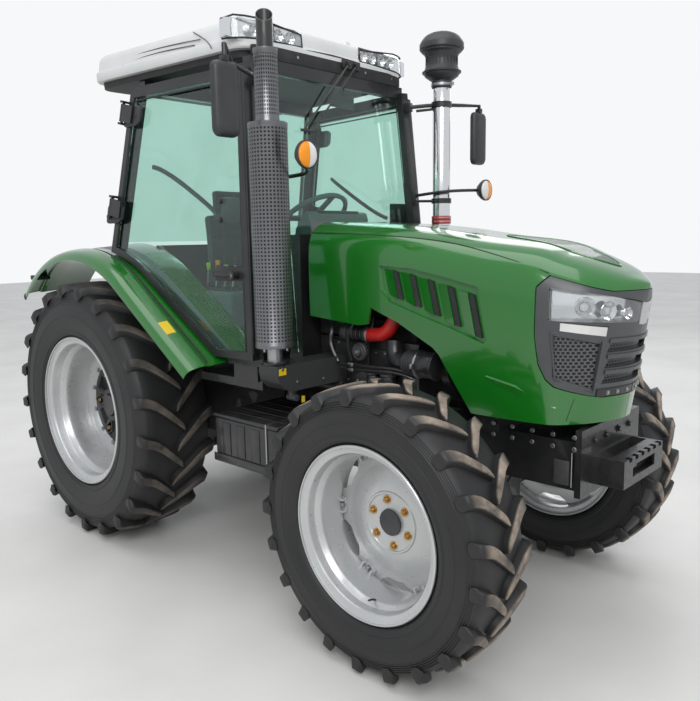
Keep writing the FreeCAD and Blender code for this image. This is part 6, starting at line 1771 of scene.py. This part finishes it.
# Seat and controls
def cushion(name, low, high, up, seams, crown):
    """A crowned pad in a box, with sewn grooves: up is its soft axis, seams are (axis, place, depth)."""
    bm = bmesh.new()
    bmesh.ops.create_cube(bm, size=2.0)
    bmesh.ops.subdivide_edges(bm, edges=bm.edges[:], cuts=39, use_grid_fill=True)
    half = (high - low) / 2
    centre = (high + low) / 2
    radius = min(half) * 0.62
    core = Vector([h - radius for h in half])
    others = [k for k in range(3) if k != up]
    for vert in bm.verts:
        share = vert.co.copy()
        place = Vector([share[k] * half[k] for k in range(3)])
        inner = Vector([max(-core[k], min(core[k], place[k])) for k in range(3)])
        off = place - inner
        if off.length > 0:
            place = inner + off.normalized() * radius
        rise = max(0.0, share[up])
        bulge = (1 - share[others[0]] ** 2) * (1 - share[others[1]] ** 2)
        place[up] -= crown * (1 - bulge) * rise
        for k, other in (others, others[::-1]):
            place[k] *= 1 - 0.035 * (1 - share[other] ** 2)
        for axis, line, depth in seams:
            gap = (place[axis] - line) / 0.008
            place[up] -= depth * math.exp(-gap * gap) * rise
        vert.co = centre + place
    made = piece(name, bm, "chassis", ["seat_cloth"], angle=60)
    smooth = made.modifiers.new("soft", "SUBSURF")
    smooth.levels = 1
    smooth.render_levels = 1
    return made


def make_seat():
    """Driver's seat: padded cushion, back and head rest on a bellows base."""
    seams = [*[(1, y, 0.010) for y in (-0.15, 0.15)], *[(0, x, 0.006) for x in (-0.12, 0.0, 0.12)]]
    cushion("Cushion", at(372, -238, 1445), at(860, 238, 1556), 2, seams, 0.018)
    seams = [*[(1, y, 0.010) for y in (-0.13, 0.13)], *[(2, z, 0.006) for z in (-0.1, 0.02, 0.14)]]
    back = cushion("Back_rest", at(362, -218, 1552), at(468, 218, 1862), 0, seams, 0.02)
    head = cushion("Head_rest", at(346, -140, 1852), at(426, 140, 2008), 0, [(2, 0.045, 0.006)], 0.014)
    for pad in (back, head):
        for vert in pad.data.vertices:
            lean = max(0.0, vert.co.z - 1.55) * 0.06
            vert.co.x = max(vert.co.x - lean, REAR_AXLE.x + 0.345)
    bm = bmesh.new()
    block(bm, at(420, -170, 1041), at(800, 170, 1070), round_off=0.006)
    for k in range(7):
        z = 1070 + 40 * k
        block(bm, at(450, -150, z), at(770, 150, z + 26), slot=1, round_off=0.012, segments=3)
        block(bm, at(466, -134, z + 20), at(754, 134, z + 44), slot=1, round_off=0.006)
    block(bm, at(400, -215, 1350), at(830, 215, 1400), round_off=0.01)
    block(bm, at(385, -225, 1400), at(845, 225, 1458), round_off=0.016, segments=3)
    for side in (-1, 1):
        drum(bm, at(420, side * 222, 1562), at(420, side * 238, 1562), 0.03, sides=32, round_off=0.004)
        tube(bm, [at(800, side * 190, 1385), at(850, side * 190, 1380)], 0.007, slot=2, smooth=False)
        drum(bm, at(845, side * 190, 1380), at(866, side * 190, 1378), 0.014, sides=20, slot=3, round_off=0.005)
    piece("Cushion_base", bm, "chassis", ["dark_grey_plastic", "black_rubber", "steel", "control_yellow"],
          replaces=["seat"])


def make_controls():
    """Dashboard hump with its binnacle, side consoles and levers."""
    bm = bmesh.new()
    outline = [(1152, 1646), (1322, 1646), (1322, 1720), (1300, 1732), (1262, 1848), (1230, 1856), (1156, 1764)]
    plate(bm, [at(x, -226, z) for x, z in outline], (0, 0.452, 0), round_off=0.016, segments=4)
    block(bm, at(1192, -108, 1041), at(1322, 108, 1652), round_off=0.02, segments=3)
    hood = [(1158, 1770), (1240, 1859.5), (1268, 1856), (1262, 1836), (1238, 1838), (1172, 1764)]
    plate(bm, [at(x, -150, z) for x, z in hood], (0, 0.3, 0), slot=1, round_off=0.004)
    face = (at(1228, 0, 1838) - at(1160, 0, 1760)).normalized()
    out = Vector((-face.z, 0, face.x))
    for y, along, radius in ((-85, 0.55, 0.034), (0, 0.6, 0.042), (85, 0.55, 0.034)):
        place = at(1160, y, 1762) + face * (0.1 * along)
        drum(bm, place - out * 0.002, place + out * 0.006, radius, radius * 0.94, 40, slot=1, round_off=0.002)
        drum(bm, place + out * 0.004, place + out * 0.0064, radius * 0.86, sides=40, slot=2)
        drum(bm, place + out * 0.006, place + out * 0.0085, 0.004, sides=16, slot=1)
        hub = place + out * 0.0075
        tube(bm, [hub, hub + face * radius * 0.62], 0.0012, slot=3, smooth=False)
    for y in (-190, 190):
        for up in (0.03, 0.065):
            place = at(1160, y, 1762) + face * up
            block(bm, place + Vector((-0.006, -0.014, -0.008)), place + Vector((0.003, 0.014, 0.008)), slot=1,
                  round_off=0.003)
    piece("Dashboard", bm, "chassis", ["dash_grey", "black_rubber", "blank_white", "amber_lens"],
          replaces=["dashboard"])
    bm = bmesh.new()
    for side, front in ((-1, 850), (1, 760)):
        inner, outer = sorted((side * 292, side * 430))
        block(bm, at(430, inner, 1041), at(front, outer, 1440), round_off=0.03, segments=4)
        block(bm, at(452, inner + 22, 1436), at(front - 22, outer - 22, 1446), slot=1, round_off=0.004)
    for x, lean, tall, knob in ((560, 10, 120, 2), (640, 15, 135, 3), (720, 10, 110, 2), (790, 25, 150, 1)):
        foot, top = at(x, -360, 1440), at(x + lean, -350, 1440 + tall)
        tube(bm, [foot, top], 0.006, slot=4, smooth=False)
        drum(bm, foot, foot + AXIS_Z * 0.02, 0.017, 0.01, 20, slot=1)
        drum(bm, top - AXIS_Z * 0.012, top + AXIS_Z * 0.03, 0.011, 0.014, 20, slot=knob, round_off=0.005)
    for x, y, tall in ((900, -150, 380), (930, 130, 330)):
        tube(bm, [at(x - 60, y, 1041), at(x - 60, y, 1150), at(x, y * 1.3, 1041 + tall)], 0.008, slot=4)
        drum(bm, at(x, y * 1.3, 1035 + tall), at(x, y * 1.3, 1080 + tall), 0.02, 0.017, 24, 1, 0.008)
    for y in (-180, -110, 175):
        tube(bm, [at(1150, y, 1041), at(1140, y, 1120), at(1120, y, 1150)], 0.008, slot=4)
        block(bm, at(1090, y - 28, 1140), at(1130, y + 28, 1152), slot=1, round_off=0.003)
    piece("Controls", bm, "chassis",
          ["interior_plastic", "black_rubber", "control_yellow", "amber_lens", "steel"])
    bm = bmesh.new()
    # Floor mat and the mirror inside
    block(bm, at(860, -420, 1040), at(1140, 420, 1047), round_off=0.002)
    for x in range(880, 1130, 24):
        block(bm, at(x, -400, 1046), at(x + 9, 400, 1049))
    tube(bm, [at(1200, 130, 2520), at(1180, 130, 2470)], 0.006, slot=1, smooth=False)
    block(bm, at(1168, 40, 2408), at(1184, 220, 2472), slot=1, round_off=0.008, segments=3)
    piece("Cab_inside", bm, "chassis", ["black_rubber", "dark_grey_plastic"])


# Widths of the worked edges, in metres
BEVELLED = {
    "cab_frame": 0.004, "cab_body": 0.004, "cab_steps": 0.003,
    "door_frame_left": 0.003, "door_frame_right": 0.003,
    "front_frame": 0.003, "ballast_bracket": 0.002, "exhaust_shield": 0.005, "transmission": 0.006,
    "engine_block": 0.008, "drawbar": 0.003, "fuel_tank": 0.012, "front_axle_beam": 0.004,
    "radiator": 0.003, "hood_hinge": 0.002,
}


def soften_nodes():
    """Worked edges on the carried-over nodes."""
    for name, width in BEVELLED.items():
        worked(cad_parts[name], width, harden=True)


class TRACTOR_OT_inside(bpy.types.Operator):
    """Make the seat, the dashboard and the controls"""
    bl_idname = "tractor.inside"
    bl_label = "Inside the cab"

    def execute(self, context):
        make_seat()
        make_controls()
        return {"FINISHED"}


class TRACTOR_OT_chassis(bpy.types.Operator):
    """Make what shows of the engine, the battery box and the frame's bolts, and soften the nodes' edges"""
    bl_idname = "tractor.chassis"
    bl_label = "Engine bay and frame"

    def execute(self, context):
        make_engine()
        make_chassis_trim()
        soften_nodes()
        return {"FINISHED"}


class TRACTOR_PT_panel(bpy.types.Panel):
    """The sizes, the colours and the steps"""
    bl_idname = "TRACTOR_PT_panel"
    bl_label = "Tractor"
    bl_space_type = "VIEW_3D"
    bl_region_type = "UI"
    bl_category = "Tractor"

    def draw(self, context):
        for group in [getattr(context.scene, name) for name in GROUPS]:
            box = self.layout.box()
            for name in group.bl_rna.properties.keys():
                if name not in ("rna_type", "name"):
                    box.prop(group, name)
        for step in STEPS:
            self.layout.operator(step.bl_idname)


STEPS = (TRACTOR_OT_finishes, TRACTOR_OT_stage, TRACTOR_OT_wheels, TRACTOR_OT_hood, TRACTOR_OT_cab,
         TRACTOR_OT_stacks, TRACTOR_OT_inside, TRACTOR_OT_chassis)
GROUPS = {"tractor_stage": TractorStage, "tractor_colours": TractorColours, "tractor_wheels": TractorWheels}


def register():
    for kind in (*GROUPS.values(), *STEPS, TRACTOR_PT_panel):
        bpy.utils.register_class(kind)
    for name, kind in GROUPS.items():
        setattr(bpy.types.Scene, name, PointerProperty(type=kind))


def unregister():
    for name in GROUPS:
        delattr(bpy.types.Scene, name)
    for kind in reversed((*GROUPS.values(), *STEPS, TRACTOR_PT_panel)):
        bpy.utils.unregister_class(kind)


def main():
    register()
    for step in STEPS:
        group, call = step.bl_idname.split(".")
        getattr(getattr(bpy.ops, group), call)()


if __name__ == "__main__":
    main()
